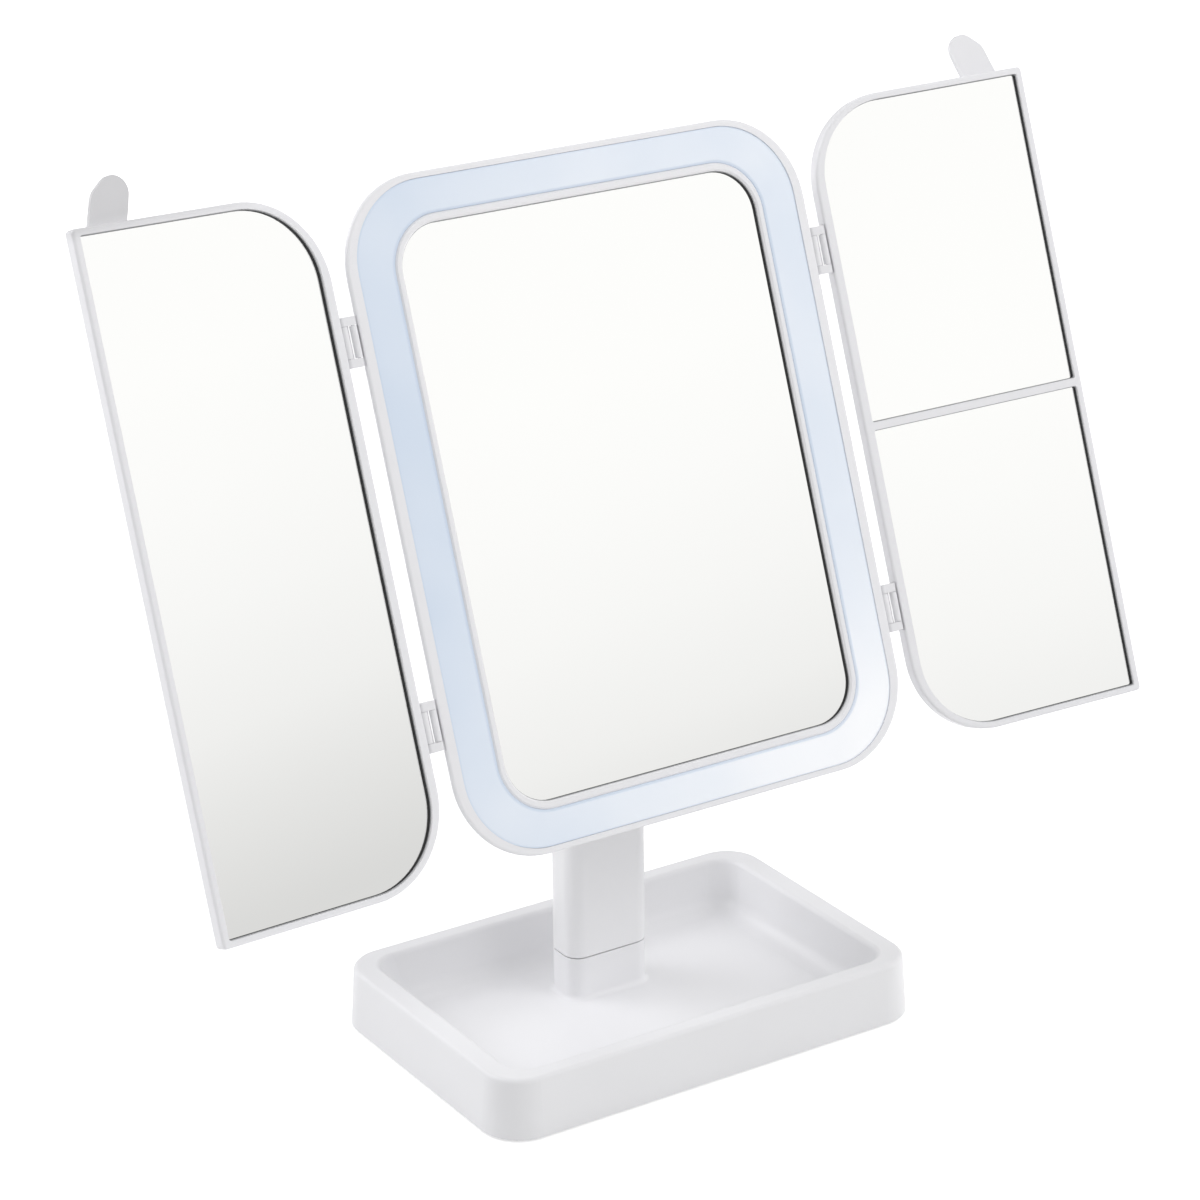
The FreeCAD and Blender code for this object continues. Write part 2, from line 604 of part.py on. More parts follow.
def base_tray():
    """The tray moulding: outer wall, broad rim, smooth basin and the hollow stub for the post."""
    body = new_body("base_tray")
    top_width, top_depth = D.BaseWidth - 2 * D.BaseDraft, D.BaseDepth - 2 * D.BaseDraft
    basin_width, basin_depth = top_width - 2 * D.RimSide, top_depth - 2 * D.RimFront

    tall = D.BaseHeight - D.FootStand
    whole = sketch_on(body, "XY", D.FootStand)
    outline(whole, D.BaseWidth, D.BaseDepth, D.BaseCorner)
    pad(body, whole, tall, TaperAngle=-slope(D.BaseDraft, tall))
    round_edges(body, lambda e: in_plane(e, "z", D.BaseHeight), D.RimRound)

    mouth = sketch_on(body, "XY", D.BaseHeight)
    outline(mouth, basin_width, basin_depth, D.BasinCorner)
    floor = sketch_on(body, "XY", D.FloorTop)
    outline(floor, basin_width - 2 * D.BasinSlope, basin_depth - 2 * D.BasinSlope,
            D.FloorRound + 0.5)
    loft(body, "Subtractive", [mouth, floor])
    inside = basin_width.value / 2 + 0.1
    round_edges(body, lambda e: in_plane(e, "z", D.FloorTop), D.FloorRound)
    round_edges(body, lambda e: in_plane(e, "z", D.BaseHeight)
                and within(e, x=(-inside, inside)), D.BasinRimRound)

    stub = sketch_on(body, "XY", D.FloorTop - D.FloorThick / 2)
    outline(stub, D.PostWidth, D.PostDepth, D.PostCorner, 0, D.PostBack)
    pad(body, stub, D.SeamHeight - D.FloorTop + D.FloorThick / 2)
    half_width = D.PostWidth.value / 2
    front, back = D.PostBack.value - D.PostDepth.value / 2, D.PostBack.value + D.PostDepth.value / 2
    round_edges(body, lambda e: in_plane(e, "z", D.FloorTop)
                and within(e, x=(-half_width, half_width), y=(front, back)), D.StubFoot)

    bore = sketch_on(body, "XY", D.SeamHeight)
    outline(bore, D.PostWidth - 2 * D.StubWall, D.PostDepth - 2 * D.StubWall,
            D.PostCorner - D.StubWall, 0, D.PostBack)
    pocket(body, bore, D.SeamHeight - D.StubFloor)

    under = D.FloorTop - D.FloorThick
    recess = sketch_on(body, "XY", D.FootStand)
    outline(recess, D.BaseWidth - 2 * D.ShellWall, D.BaseDepth - 2 * D.ShellWall,
            D.BaseCorner - D.ShellWall)
    pocket(body, recess, under - D.FootStand, Reversed=True)

    cavity = sketch_on(body, "XY", under)
    outline(cavity, D.BaseWidth - 2 * D.ShellWall - 2 * D.BaseDraft,
            D.BaseDepth - 2 * D.ShellWall - 2 * D.BaseDraft, D.BaseCorner - D.ShellWall)
    outline(cavity, basin_width + 2 * D.BasinWall, basin_depth + 2 * D.BasinWall,
            D.BasinCorner + D.BasinWall)
    pocket(body, cavity, D.BaseHeight - D.ShellWall - under, Reversed=True)

    bosses = sketch_on(body, "XY", D.FootStand + D.CoverThick)
    for x, y in COVER_SCREWS:
        circle(bosses, D.CoverBoss, x, y)
    pad(body, bosses, D.CoverBossHigh)
    pilots = sketch_on(body, "XY", D.FootStand + D.CoverThick)
    for x, y in COVER_SCREWS:
        circle(pilots, D.CoverScrewRadius, x, y)
    pocket(body, pilots, D.CoverScrewGrip + D.ScrewSpare, Reversed=True)

    heads = sketch_on(body, "XY", under)
    through = sketch_on(body, "XY", under)
    for sx in (-1, 1):
        circle(heads, 2 * D.NeckScrewRadius, sx * D.NeckScrewX, D.PostBack)
        circle(through, D.NeckScrewRadius + 0.1, sx * D.NeckScrewX, D.PostBack)
    pocket(body, heads, 2.2, Reversed=True)
    pocket(body, through, D.StubFloor - under + 1, Reversed=True)
    return body


def base_underside():
    """Bottom cover, ballast plate, feet and screws."""
    under = D.FloorTop - D.FloorThick
    cover_top = D.FootStand + D.CoverThick
    foot_x = D.BaseWidth / 2 - D.FootInset
    foot_y = D.BaseDepth / 2 - D.FootInset

    cover = new_body("base_bottom_cover")
    plate = sketch_on(cover, "XY", D.FootStand)
    wall = D.ShellWall + D.CoverFit
    outline(plate, D.BaseWidth - 2 * wall, D.BaseDepth - 2 * wall, D.BaseCorner - wall)
    pad(cover, plate, D.CoverThick)
    seats = sketch_on(cover, "XY", D.FootStand)
    for x, y in corners_of(foot_x, foot_y):
        circle(seats, D.FootRadius, x, y)
    pocket(cover, seats, D.FootSink, Reversed=True)
    holes = sketch_on(cover, "XY", D.FootStand)
    hole = D.CoverScrewRadius + 0.1
    for x, y in COVER_SCREWS:
        circle(holes, hole, x, y)
    pocket(cover, holes, D.CoverThick + 1, Reversed=True)
    round_edges(cover, lambda e: in_plane(e, "z", D.FootStand)
                and e.BoundBox.XLength < 2.1 * hole.value, D.CoverThick - 0.2, "Chamfer")

    weight = new_body("base_ballast_plate")
    plate = sketch_on(weight, "XY", under - D.WeightThick)
    inset = D.BaseDraft + D.PlateInset
    outline(plate, D.BaseWidth - 2 * (D.RimSide + inset), D.BaseDepth - 2 * (D.RimFront + inset),
            D.BasinCorner - 1)
    pad(weight, plate, D.WeightThick)
    relief = sketch_on(weight, "XY", under - D.WeightThick)
    for sx in (-1, 1):
        circle(relief, 2 * D.NeckScrewRadius + 0.5, sx * D.NeckScrewX, D.PostBack)
    pocket(weight, relief, D.WeightThick + 1, Reversed=True)

    group([cylinder(D.FootRadius, D.FootStand + D.FootSink, x, y, 0)
           for x, y in corners_of(foot_x, foot_y)], "rubber_feet")
    shank, sink = D.CoverScrewRadius, D.CoverThick - 0.2
    group([fuse(cone(shank + sink, shank, sink, x, y, D.FootStand),
                cylinder(shank, cover_top + D.CoverScrewGrip - D.FootStand - sink, x, y,
                         D.FootStand + sink))
           for x, y in COVER_SCREWS], "base_cover_screws")
    group([fuse(cylinder(2 * D.NeckScrewRadius - 0.1, 1.9, sx * D.NeckScrewX, D.PostBack,
                         under + 0.3),
                cylinder(D.NeckScrewRadius, 14, sx * D.NeckScrewX, D.PostBack, under + 2.2))
           for sx in (-1, 1)], "post_screws")


# ---------------------------------------------------------------------------------------------
# Post
# ---------------------------------------------------------------------------------------------

def post():
    """The straight post: tongue in the stub, hollow shaft, barrel for the tilt pin."""
    body = new_body("neck_post", POST)
    foot = D.SeamHeight + D.SeamGap
    shoulder = D.PivotHeight - D.ShoulderDrop

    shaft = sketch_on(body, "XY", foot)
    outline(shaft, D.PostWidth, D.PostDepth, D.PostCorner)
    pad(body, shaft, shoulder - foot)
    round_edges(body, lambda e: in_plane(e, "z", shoulder), 1.5)

    barrel = sketch_on(body, "YZ")
    stadium(barrel, 0, shoulder - D.PostDepth / 2, 0, D.PivotHeight, D.PostDepth / 2)
    pad(body, barrel, D.BarrelWidth, Midplane=True)

    tongue = sketch_on(body, "XY", foot)
    gap = D.StubWall + D.TongueFit
    outline(tongue, D.PostWidth - 2 * gap, D.PostDepth - 2 * gap, D.PostCorner - gap)
    pad(body, tongue, foot - D.StubFloor, Reversed=True)
    pilots = sketch_on(body, "XY", D.StubFloor)
    for sx in (-1, 1):
        circle(pilots, D.NeckScrewRadius, sx * D.NeckScrewX, 0)
    pocket(body, pilots, 12, Reversed=True)

    door_low, door_high = foot + 6, shoulder - 8
    rebate = sketch_on(body, "XZ", -D.PostDepth / 2)
    rectangle(rebate, -D.PostDoorWidth / 2, D.PostDoorWidth / 2, door_low, door_high)
    pocket(body, rebate, D.PostDoorThick, Reversed=True)
    hollow = sketch_on(body, "XZ", -D.PostDepth / 2)
    rectangle(hollow, -D.PostDoorWidth / 2 + 1.6, D.PostDoorWidth / 2 - 1.6,
              door_low + 2, door_high - 2)
    pocket(body, hollow, D.PostDepth - D.PostWall, Reversed=True)

    bore = sketch_on(body, "YZ")
    circle(bore, D.PinRadius + D.PinFit, 0, D.PivotHeight)
    pocket(body, bore, D.BarrelWidth + 2, Midplane=True)

    door = new_body("neck_rear_cover", POST)
    plate = sketch_on(door, "XZ", -D.PostDepth / 2)
    rectangle(plate, -D.PostDoorWidth / 2 + 0.1, D.PostDoorWidth / 2 - 0.1,
              door_low + 0.1, door_high - 0.1)
    pad(door, plate, D.PostDoorThick)


# ---------------------------------------------------------------------------------------------
# Centre panel
# ---------------------------------------------------------------------------------------------

DIFFUSER_WIDTH = D.HeadWidth - 2 * D.FrameSide
DIFFUSER_HEIGHT = D.HeadHeight - 2 * D.FrameEnds
LIP_WIDTH = DIFFUSER_WIDTH - 2 * D.DiffuserSide
LIP_HEIGHT = DIFFUSER_HEIGHT - 2 * D.DiffuserEnds
OPENING_WIDTH = LIP_WIDTH - 2 * D.LipSide
OPENING_HEIGHT = LIP_HEIGHT - 2 * D.LipEnds
OPENING_CORNER = D.LipCorner - D.LipEnds
DIFFUSER_BACK = D.DiffuserSink + D.DiffuserThick
SHELL_START = D.FrameDepth + D.ShellGap
SCREW_PLACES = [(sx * D.HeadScrewX, sz * D.HeadScrewZ) for sx in (-1, 1) for sz in (-1, 0, 1)]


PANEL_DEPTH = D.GlassSink + D.GlassThick + D.TapeThick + D.PanelFloor
WING_WIDTH = (D.HeadWidth - D.FoldedGap) / 2
WING_DEPTH = D.WingGlassSink + D.GlassThick + D.TapeThick + D.WingFloor
SHELL_INSET = D.FrameDepth - D.FrameStraight
CASE_SCREW_TIP = D.CaseBossTop - D.CaseScrewGrip


def knuckles(body, inward, axis_x, axis_y):
    """Hinge side of a panel: a notch for each link, in it a barrel on a web behind the axis.

    Inward is the way from the axis into the panel, -1 or 1.
    """
    length = D.LinkHeight - 2 * (D.LinkBlock + D.KnuckleGap)
    notch_radius = D.LinkRadius + D.LinkGap
    root = axis_x + inward * (LINK_EDGE + D.KnuckleRoot)
    for sz in (-1, 1):
        notch = sketch_on(body, "XY", sz * D.LinkZ)
        stadium(notch, axis_x, axis_y, axis_x, axis_y - 2 * notch_radius, notch_radius)
        pocket(body, notch, D.LinkHeight + 2 * D.LinkGap, Midplane=True)
        barrel = sketch_on(body, "XY", sz * D.LinkZ)
        circle(barrel, D.KnuckleRadius, axis_x, axis_y)
        pad(body, barrel, length, Midplane=True)
        web = sketch_on(body, "XY", sz * D.LinkZ)
        ends = (root, axis_x) if inward < 0 else (axis_x, root)
        rectangle(web, *ends, axis_y + D.KnuckleRadius - D.KnuckleWeb, axis_y + D.KnuckleRadius)
        pad(body, web, length, Midplane=True)
        bore = sketch_on(body, "XY", sz * D.LinkZ)
        circle(bore, D.LinkPinRadius + D.LinkPinFit, axis_x, axis_y)
        pocket(body, bore, length + 1, Midplane=True)


def mirror_in(glass_name, tape_name, frame, sketch_at, draw, glass_sink):
    """A glass and the foam tape that holds it: a sheet behind it and a thin rim round it.

    sketch_at gives a sketch at a depth; draw puts the opening's outline in it, inset by a gap.
    """
    glass = new_body(glass_name, frame)
    pane = sketch_at(glass, glass_sink)
    draw(pane, D.GlassGap)
    pad_back(glass, pane, D.GlassThick)
    tape = new_body(tape_name, frame)
    whole = sketch_at(tape, glass_sink - D.TapeSink)
    draw(whole, D.TapeFit)
    pad_back(tape, whole, D.TapeSink + D.GlassThick + D.TapeThick)
    room = sketch_at(tape, glass_sink - D.TapeSink)
    draw(room, D.GlassGap)
    pocket(tape, room, D.TapeSink + D.GlassThick)


def head_front():
    """Front frame, diffuser, mirror panel with its lip, glass and foam tape."""
    frame = new_body("head_front_frame", HEAD)
    ring = at_depth(frame, 0)
    outline(ring, D.HeadWidth, D.HeadHeight, D.HeadCorner)
    outline(ring, DIFFUSER_WIDTH - 2 * D.LedgeWidth, DIFFUSER_HEIGHT - 2 * D.LedgeWidth,
            D.DiffuserCorner - D.LedgeWidth)
    pad_back(frame, ring, D.FrameDepth)
    front = -D.PivotDepth
    side, end = D.HeadWidth.value / 2 - 0.01, D.HeadHeight.value / 2 - 0.01

    def outer_edge(e):
        """Whether an edge belongs to the frame's outline."""
        box = e.BoundBox
        return box.XMax > side or box.XMin < -side or box.ZMax > end or box.ZMin < -end

    round_edges(frame, lambda e: in_plane(e, "y", front) and outer_edge(e), D.FrameRound)
    round_edges(frame, lambda e: in_plane(e, "y", front + D.FrameDepth) and outer_edge(e),
                SHELL_INSET, "Chamfer")
    seat = at_depth(frame, 0)
    outline(seat, DIFFUSER_WIDTH, DIFFUSER_HEIGHT, D.DiffuserCorner)
    pocket(frame, seat, DIFFUSER_BACK)
    for outward in (-1, 1):
        knuckles(frame, -outward, outward * LINK_X, LINK_Y)

    diffuser = new_body("light_diffuser", HEAD)
    ring = at_depth(diffuser, D.DiffuserSink)
    fit = D.DiffuserFit
    outline(ring, DIFFUSER_WIDTH - 2 * fit, DIFFUSER_HEIGHT - 2 * fit, D.DiffuserCorner - fit)
    outline(ring, LIP_WIDTH + 2 * fit, LIP_HEIGHT + 2 * fit, D.LipCorner + fit)
    pad_back(diffuser, ring, D.DiffuserThick)

    panel = new_body("mirror_panel", HEAD)
    lip = at_depth(panel, 0)
    outline(lip, LIP_WIDTH, LIP_HEIGHT, D.LipCorner)
    pad_back(panel, lip, PANEL_DEPTH)
    flange = at_depth(panel, DIFFUSER_BACK)
    outline(flange, LIP_WIDTH + 2 * D.PanelFlange, LIP_HEIGHT + 2 * D.PanelFlange,
            D.LipCorner + D.PanelFlange)
    pad_back(panel, flange, D.FlangeThick)
    recess = at_depth(panel, 0)
    outline(recess, OPENING_WIDTH, OPENING_HEIGHT, OPENING_CORNER)
    pocket(panel, recess, PANEL_DEPTH - D.PanelFloor)
    inner = OPENING_WIDTH.value / 2 + 0.01
    round_edges(panel, lambda e: in_plane(e, "y", front) and within(e, x=(-inner, inner)),
                D.LipBevel, "Chamfer")
    baffle = at_depth(panel, PANEL_DEPTH)
    for inset in (D.BaffleInset, D.BaffleInset + D.BaffleWall):
        outline(baffle, LIP_WIDTH - 2 * inset, LIP_HEIGHT - 2 * inset, D.LipCorner - inset)
    pad_back(panel, baffle, D.BaffleDepth - PANEL_DEPTH)
    posts = at_depth(panel, PANEL_DEPTH)
    for x, z in SCREW_PLACES:
        circle(posts, D.CasePost, x, z)
    pad_back(panel, posts, D.CaseBossTop - PANEL_DEPTH)
    pilots = at_depth(panel, D.CaseBossTop)
    for x, z in SCREW_PLACES:
        circle(pilots, D.HeadScrewRadius, x, z)
    pocket(panel, pilots, D.CaseBossTop - CASE_SCREW_TIP + D.ScrewSpare, Reversed=True)

    def opening(sketch, gap):
        """The mirror's opening, inset by a gap."""
        outline(sketch, OPENING_WIDTH - 2 * gap, OPENING_HEIGHT - 2 * gap, OPENING_CORNER - gap)

    mirror_in("center_mirror", "center_mirror_tape", HEAD, at_depth, opening, D.GlassSink)


def head_rear():
    """The rear shell: side wall, sloped back, raised housing and the two hinge ears."""
    body = new_body("head_rear_shell", HEAD)

    def profile(depth, inset, corner=None):
        """The panel's outline, inset, at a depth."""
        sketch = at_depth(body, depth)
        outline(sketch, D.HeadWidth - 2 * inset, D.HeadHeight - 2 * inset,
                (D.HeadCorner - inset) if corner is None else corner)
        return sketch

    loft(body, "Additive", [profile(SHELL_START, SHELL_INSET), profile(D.BackDepth, D.BackInset)])
    housing = at_depth(body, D.BackDepth - 1)
    outline(housing, D.BoxWidth, D.BoxHeight, D.BoxCorner)
    pad_back(body, housing, D.BoxDepth - D.BackDepth + 1)
    box_back = D.BoxDepth - D.PivotDepth
    round_edges(body, lambda e: in_plane(e, "y", box_back), D.BoxRound)

    lean = (D.BackInset - SHELL_INSET) / (D.BackDepth - SHELL_START)
    rim = SHELL_INSET + D.HeadWall * (1 + lean * lean / 2)
    deep = D.BackDepth - D.HeadWall
    loft(body, "Subtractive", [profile(SHELL_START, rim),
                               profile(deep, rim + lean * (deep - SHELL_START))])
    room = at_depth(body, D.BackDepth - D.HeadWall - 0.5)
    outline(room, D.BoxWidth - 2 * D.BoxWall, D.BoxHeight - 2 * D.BoxWall,
            D.BoxCorner - D.BoxWall)
    pocket(body, room, D.BoxDepth - D.BoxWall - D.BackDepth + D.HeadWall + 0.5)

    ears = sketch_on(body, "YZ")
    root = box_back - 1
    polygon(ears, [(root, -D.EarRadius - 4), (root, D.EarRadius + 4),
                   (-D.EarRadius * 0.45, D.EarRadius * 0.893),
                   (-D.EarRadius * 0.45, -D.EarRadius * 0.893)])
    pad(body, ears, D.PostWidth, Midplane=True)
    ends = sketch_on(body, "YZ")
    circle(ends, D.EarRadius, 0, 0)
    pad(body, ends, D.PostWidth, Midplane=True)
    fork = sketch_on(body, "YZ")
    rectangle(fork, box_back, D.EarRadius + 1, -D.EarRadius - 6, D.EarRadius + 6)
    pocket(body, fork, D.BarrelWidth + 2 * (D.WasherThick + D.WasherGap), Midplane=True)
    bore = sketch_on(body, "YZ")
    circle(bore, D.PinRadius, 0, 0)
    pocket(body, bore, D.PostWidth + 2, Midplane=True)
    for side in (-1, 1):
        sink = sketch_on(body, "YZ", side * D.PostWidth / 2)
        circle(sink, D.EarSinkRadius, 0, 0)
        pocket(body, sink, D.EarSink, Reversed=side < 0)

    bosses = at_depth(body, D.CaseBossTop)
    sinks = at_depth(body, D.BackDepth)
    holes = at_depth(body, D.CaseBossTop)
    for x, z in SCREW_PLACES:
        circle(bosses, D.CaseBoss, x, z)
        circle(sinks, D.HeadScrewHead + 0.3, x, z)
        circle(holes, D.HeadScrewRadius + 0.15, x, z)
    pad_back(body, bosses, D.BackDepth - D.HeadWall - D.CaseBossTop + 0.3)
    pocket(body, sinks, D.CaseSink, Reversed=True)
    pocket(body, holes, D.BackDepth - D.CaseSink - D.CaseBossTop + 0.5)

    board_back = D.BoardDepth + D.BoardThick
    posts = at_depth(body, board_back)
    for dx, dz in corners_of(D.BoardWidth / 2 - D.BoardPostInset,
                             D.BoardHeight / 2 - D.BoardPostInset):
        circle(posts, D.BoardPostRadius, D.BoardX + dx, D.BoardZ + dz)
    pad_back(body, posts, D.BoxDepth - D.BoxWall - board_back + 0.3)
    threads = at_depth(body, board_back)
    for dx, dz in corners_of(D.BoardWidth / 2 - D.BoardPostInset,
                             D.BoardHeight / 2 - D.BoardPostInset):
        circle(threads, D.BoardScrewRadius, D.BoardX + dx, D.BoardZ + dz)
    pocket(body, threads, 3)

    port = sketch_on(body, "XY", -D.BoxHeight / 2 - 1)
    gap = D.SocketGap
    outline(port, D.SocketWidth + 2 * gap, D.SocketThick + 2 * gap, D.SocketThick / 2 + gap - 0.05,
            D.SocketX, board_back + D.SocketThick / 2 - D.PivotDepth)
    pocket(body, port, D.BoxWall + 2, Reversed=True)
    hole = at_depth(body, D.BoxDepth)
    circle(hole, D.ButtonRadius + D.ButtonGap, D.ButtonX, D.ButtonZ)
    pocket(body, hole, D.BoxWall + 1, Reversed=True)


def electronics():
    """Light strip, lights, main board, switch, socket and battery pack."""
    wall = D.BackDepth - D.HeadWall
    strip = new_body("led_board", HEAD)
    ring = at_depth(strip, wall - D.LedBoardThick)
    outline(ring, LIP_WIDTH + 2 * D.LedBoardWidth, LIP_HEIGHT + 2 * D.LedBoardWidth,
            D.LipCorner + D.LedBoardWidth)
    outline(ring, LIP_WIDTH, LIP_HEIGHT, D.LipCorner)
    pad_back(strip, ring, D.LedBoardThick)

    lights = []
    y1 = wall - D.LedBoardThick - D.PivotDepth
    y0 = y1 - D.LedThick
    across = (LIP_WIDTH + D.LedBoardWidth) / 2
    up = (LIP_HEIGHT + D.LedBoardWidth) / 2
    for side in (-1, 1):
        for step in range(-3, 4):
            x, z = side * across, step * D.LedPitch
            lights.append(block((x - D.LedHigh / 2, x + D.LedHigh / 2), (y0, y1),
                                (z - D.LedWide / 2, z + D.LedWide / 2)))
        for step in range(-2, 3):
            x, z = step * D.LedPitch, side * up
            lights.append(block((x - D.LedWide / 2, x + D.LedWide / 2), (y0, y1),
                                (z - D.LedHigh / 2, z + D.LedHigh / 2)))
    group(lights, "leds", HEAD)

    front, back = D.BoardDepth - D.PivotDepth, D.BoardDepth + D.BoardThick - D.PivotDepth
    board = new_body("main_board", HEAD)
    sheet = at_depth(board, D.BoardDepth)
    outline(sheet, D.BoardWidth, D.BoardHeight, 1.5, D.BoardX, D.BoardZ)
    pad_back(board, sheet, D.BoardThick)
    holes = at_depth(board, D.BoardDepth)
    for dx, dz in corners_of(D.BoardWidth / 2 - D.BoardPostInset,
                             D.BoardHeight / 2 - D.BoardPostInset):
        circle(holes, D.BoardScrewRadius + 0.1, D.BoardX + dx, D.BoardZ + dz)
    pocket(board, holes, D.BoardThick + 1)
    group([fuse(cylinder(1.9, 1.2, D.BoardX + dx, front - 1.2, D.BoardZ + dz, "y"),
                cylinder(D.BoardScrewRadius, D.BoardThick + 2.5, D.BoardX + dx, front,
                         D.BoardZ + dz, "y"))
           for dx, dz in corners_of(D.BoardWidth / 2 - D.BoardPostInset,
                                    D.BoardHeight / 2 - D.BoardPostInset)],
          "main_board_screws", HEAD)

    socket = new_body("charging_socket", HEAD)
    mouth = sketch_on(socket, "XY", -D.BoxHeight / 2 + 0.3)
    centre_y = back + D.SocketThick / 2
    outline(mouth, D.SocketWidth, D.SocketThick, D.SocketThick / 2 - 0.05, D.SocketX, centre_y)
    pad(socket, mouth, D.SocketLong)
    hollow = sketch_on(socket, "XY", -D.BoxHeight / 2 + 0.3)
    outline(hollow, D.SocketWidth - 0.7, D.SocketThick - 0.7, D.SocketThick / 2 - 0.4,
            D.SocketX, centre_y)
    outline(hollow, D.SocketWidth - 2.4, 0.7, 0.3, D.SocketX, centre_y)
    pocket(socket, hollow, D.SocketLong - 1, Reversed=True)

    switch = new_body("push_switch", HEAD)
    case = at_depth(switch, D.BoardDepth + D.BoardThick)
    outline(case, D.SwitchSide, D.SwitchSide, 0.6, D.ButtonX, D.ButtonZ)
    pad_back(switch, case, D.SwitchThick)
    well = at_depth(switch, D.BoardDepth + D.BoardThick + D.SwitchThick)
    circle(well, D.PlungerRadius + 0.15, D.ButtonX, D.ButtonZ)
    pocket(switch, well, D.SwitchThick - 0.1, Reversed=True)

    pack = new_body("battery_pack", HEAD)
    cell = at_depth(pack, D.BoxDepth - D.BoxWall - D.BatteryThick)
    outline(cell, D.BatteryWidth, D.BatteryHeight, 3, 0, D.BatteryZ)
    pad_back(pack, cell, D.BatteryThick)
    round_edges(pack, lambda e: in_plane(e, "y", D.BoxDepth - D.BoxWall - D.BatteryThick
                                         - D.PivotDepth), 1.5)


def power_button():
    """The button cap with its flange, and the switch plunger that it presses."""
    switch_back = D.BoardDepth + D.BoardThick + D.SwitchThick
    flange_front = switch_back + D.ButtonTravel + 0.1
    flange_back = D.BoxDepth - D.BoxWall - 0.05
    cap = new_body("power_button", HEAD)
    flange = at_depth(cap, flange_front)
    circle(flange, D.ButtonRadius + D.ButtonFlange, D.ButtonX, D.ButtonZ)
    pad_back(cap, flange, flange_back - flange_front)
    face = at_depth(cap, flange_back - 0.2)
    circle(face, D.ButtonRadius, D.ButtonX, D.ButtonZ)
    pad_back(cap, face, D.BoxDepth + D.ButtonRise - flange_back + 0.2)
    round_edges(cap, lambda e: in_plane(e, "y", D.BoxDepth + D.ButtonRise - D.PivotDepth), 0.6)

    plunger_front = switch_back - D.SwitchThick + D.ButtonTravel + 0.15
    node(cylinder(D.PlungerRadius, flange_front - plunger_front, D.ButtonX,
                  plunger_front - D.PivotDepth, D.ButtonZ, "y"), "switch_plunger")
    NODES[-1].setExpression("Placement", HEAD + " * " + place(
        D.ButtonX, plunger_front - D.PivotDepth, D.ButtonZ, "x", -90))


def case_screws():
    """Six screws through the rear shell into the mirror panel's posts."""
    head_front_y = D.BackDepth - D.CaseSink - D.PivotDepth
    screws = []
    for x, z in SCREW_PLACES:
        tip = CASE_SCREW_TIP - D.PivotDepth
        screws.append(fuse(
            cylinder(D.HeadScrewRadius, head_front_y - tip, x, tip, z, "y"),
            cylinder(D.HeadScrewHead, D.CaseHeadThick, x, head_front_y, z, "y")))
    group(screws, "case_screws", HEAD)


def tilt_joint():
    """Tilt pin with its head, nut, friction washers and the two caps."""
    half = D.PostWidth / 2
    seat = half - D.EarSink
    node(fuse(cylinder(D.PinRadius, 2 * seat + D.PinHeadThick, -seat, 0, 0, "x"),
              cylinder(D.EarSinkRadius - 0.3, D.PinHeadThick, -seat - D.PinHeadThick, 0, 0, "x")),
         "tilt_pin", HEAD)

    nut = new_body("tilt_nut", HEAD)
    flats = sketch_on(nut, "YZ", seat)
    reach = D.EarSinkRadius - 0.3
    polygon(flats, [(reach * math.cos(math.radians(60 * k)), reach * math.sin(math.radians(60 * k)))
                    for k in range(6)])
    pad(nut, flats, D.PinHeadThick)
    thread = sketch_on(nut, "YZ", seat)
    circle(thread, D.PinRadius, 0, 0)
    pocket(nut, thread, D.PinHeadThick + 1, Reversed=True)

    washers = []
    for side in (-1, 1):
        start = (D.BarrelWidth / 2 + D.WasherGap) if side > 0 else (
            -D.BarrelWidth / 2 - D.WasherGap - D.WasherThick)
        washers.append(cut(cylinder(D.WasherRadius, D.WasherThick, start, 0, 0, "x"),
                           cylinder(D.PinRadius, D.WasherThick + 2, start - 1, 0, 0, "x")))
    group(washers, "tilt_washers", HEAD)
    cap = D.EarSink - D.PinHeadThick - 0.1
    group([cylinder(D.EarSinkRadius, cap, (half - cap) if side > 0 else -half, 0, 0, "x")
           for side in (-1, 1)], "tilt_caps", HEAD)


# ---------------------------------------------------------------------------------------------
# Hinge links and side panels
# ---------------------------------------------------------------------------------------------

def links(side, name):
    """Two double-axis hinge links and their four pins on one side."""
    reach = side * LINK_PITCH
    for sz, where in ((1, "upper"), (-1, "lower")):
        clip = new_body("%s_link_%s" % (name, where), link_place(side))
        blocks = sketch_on(clip, "XY", sz * D.LinkZ)
        stadium(blocks, 0, 0, reach, 0, D.LinkRadius)
        pad(clip, blocks, D.LinkHeight, Midplane=True)
        room = sketch_on(clip, "XY", sz * D.LinkZ)
        rectangle(room, reach / 2 - LINK_PITCH / 2 - 2 * D.LinkRadius,
                  reach / 2 + LINK_PITCH / 2 + 2 * D.LinkRadius, -2 * D.LinkRadius,
                  2 * D.LinkRadius)
        rectangle(room, reach / 2 - D.LinkSpine / 2, reach / 2 + D.LinkSpine / 2,
                  D.LinkSpineFront, D.LinkRadius)
        pocket(clip, room, D.LinkHeight - 2 * D.LinkBlock, Midplane=True)
        holes = sketch_on(clip, "XY", sz * D.LinkZ)
        circle(holes, D.LinkPinRadius, 0, 0)
        circle(holes, D.LinkPinRadius, reach, 0)
        pocket(clip, holes, D.LinkHeight + 1, Midplane=True)
    group([cylinder(D.LinkPinRadius, D.LinkHeight, x, 0, sz * D.LinkZ - D.LinkHeight / 2)
           for sz in (-1, 1) for x in (0, reach)], name + "_link_pins", link_place(side))


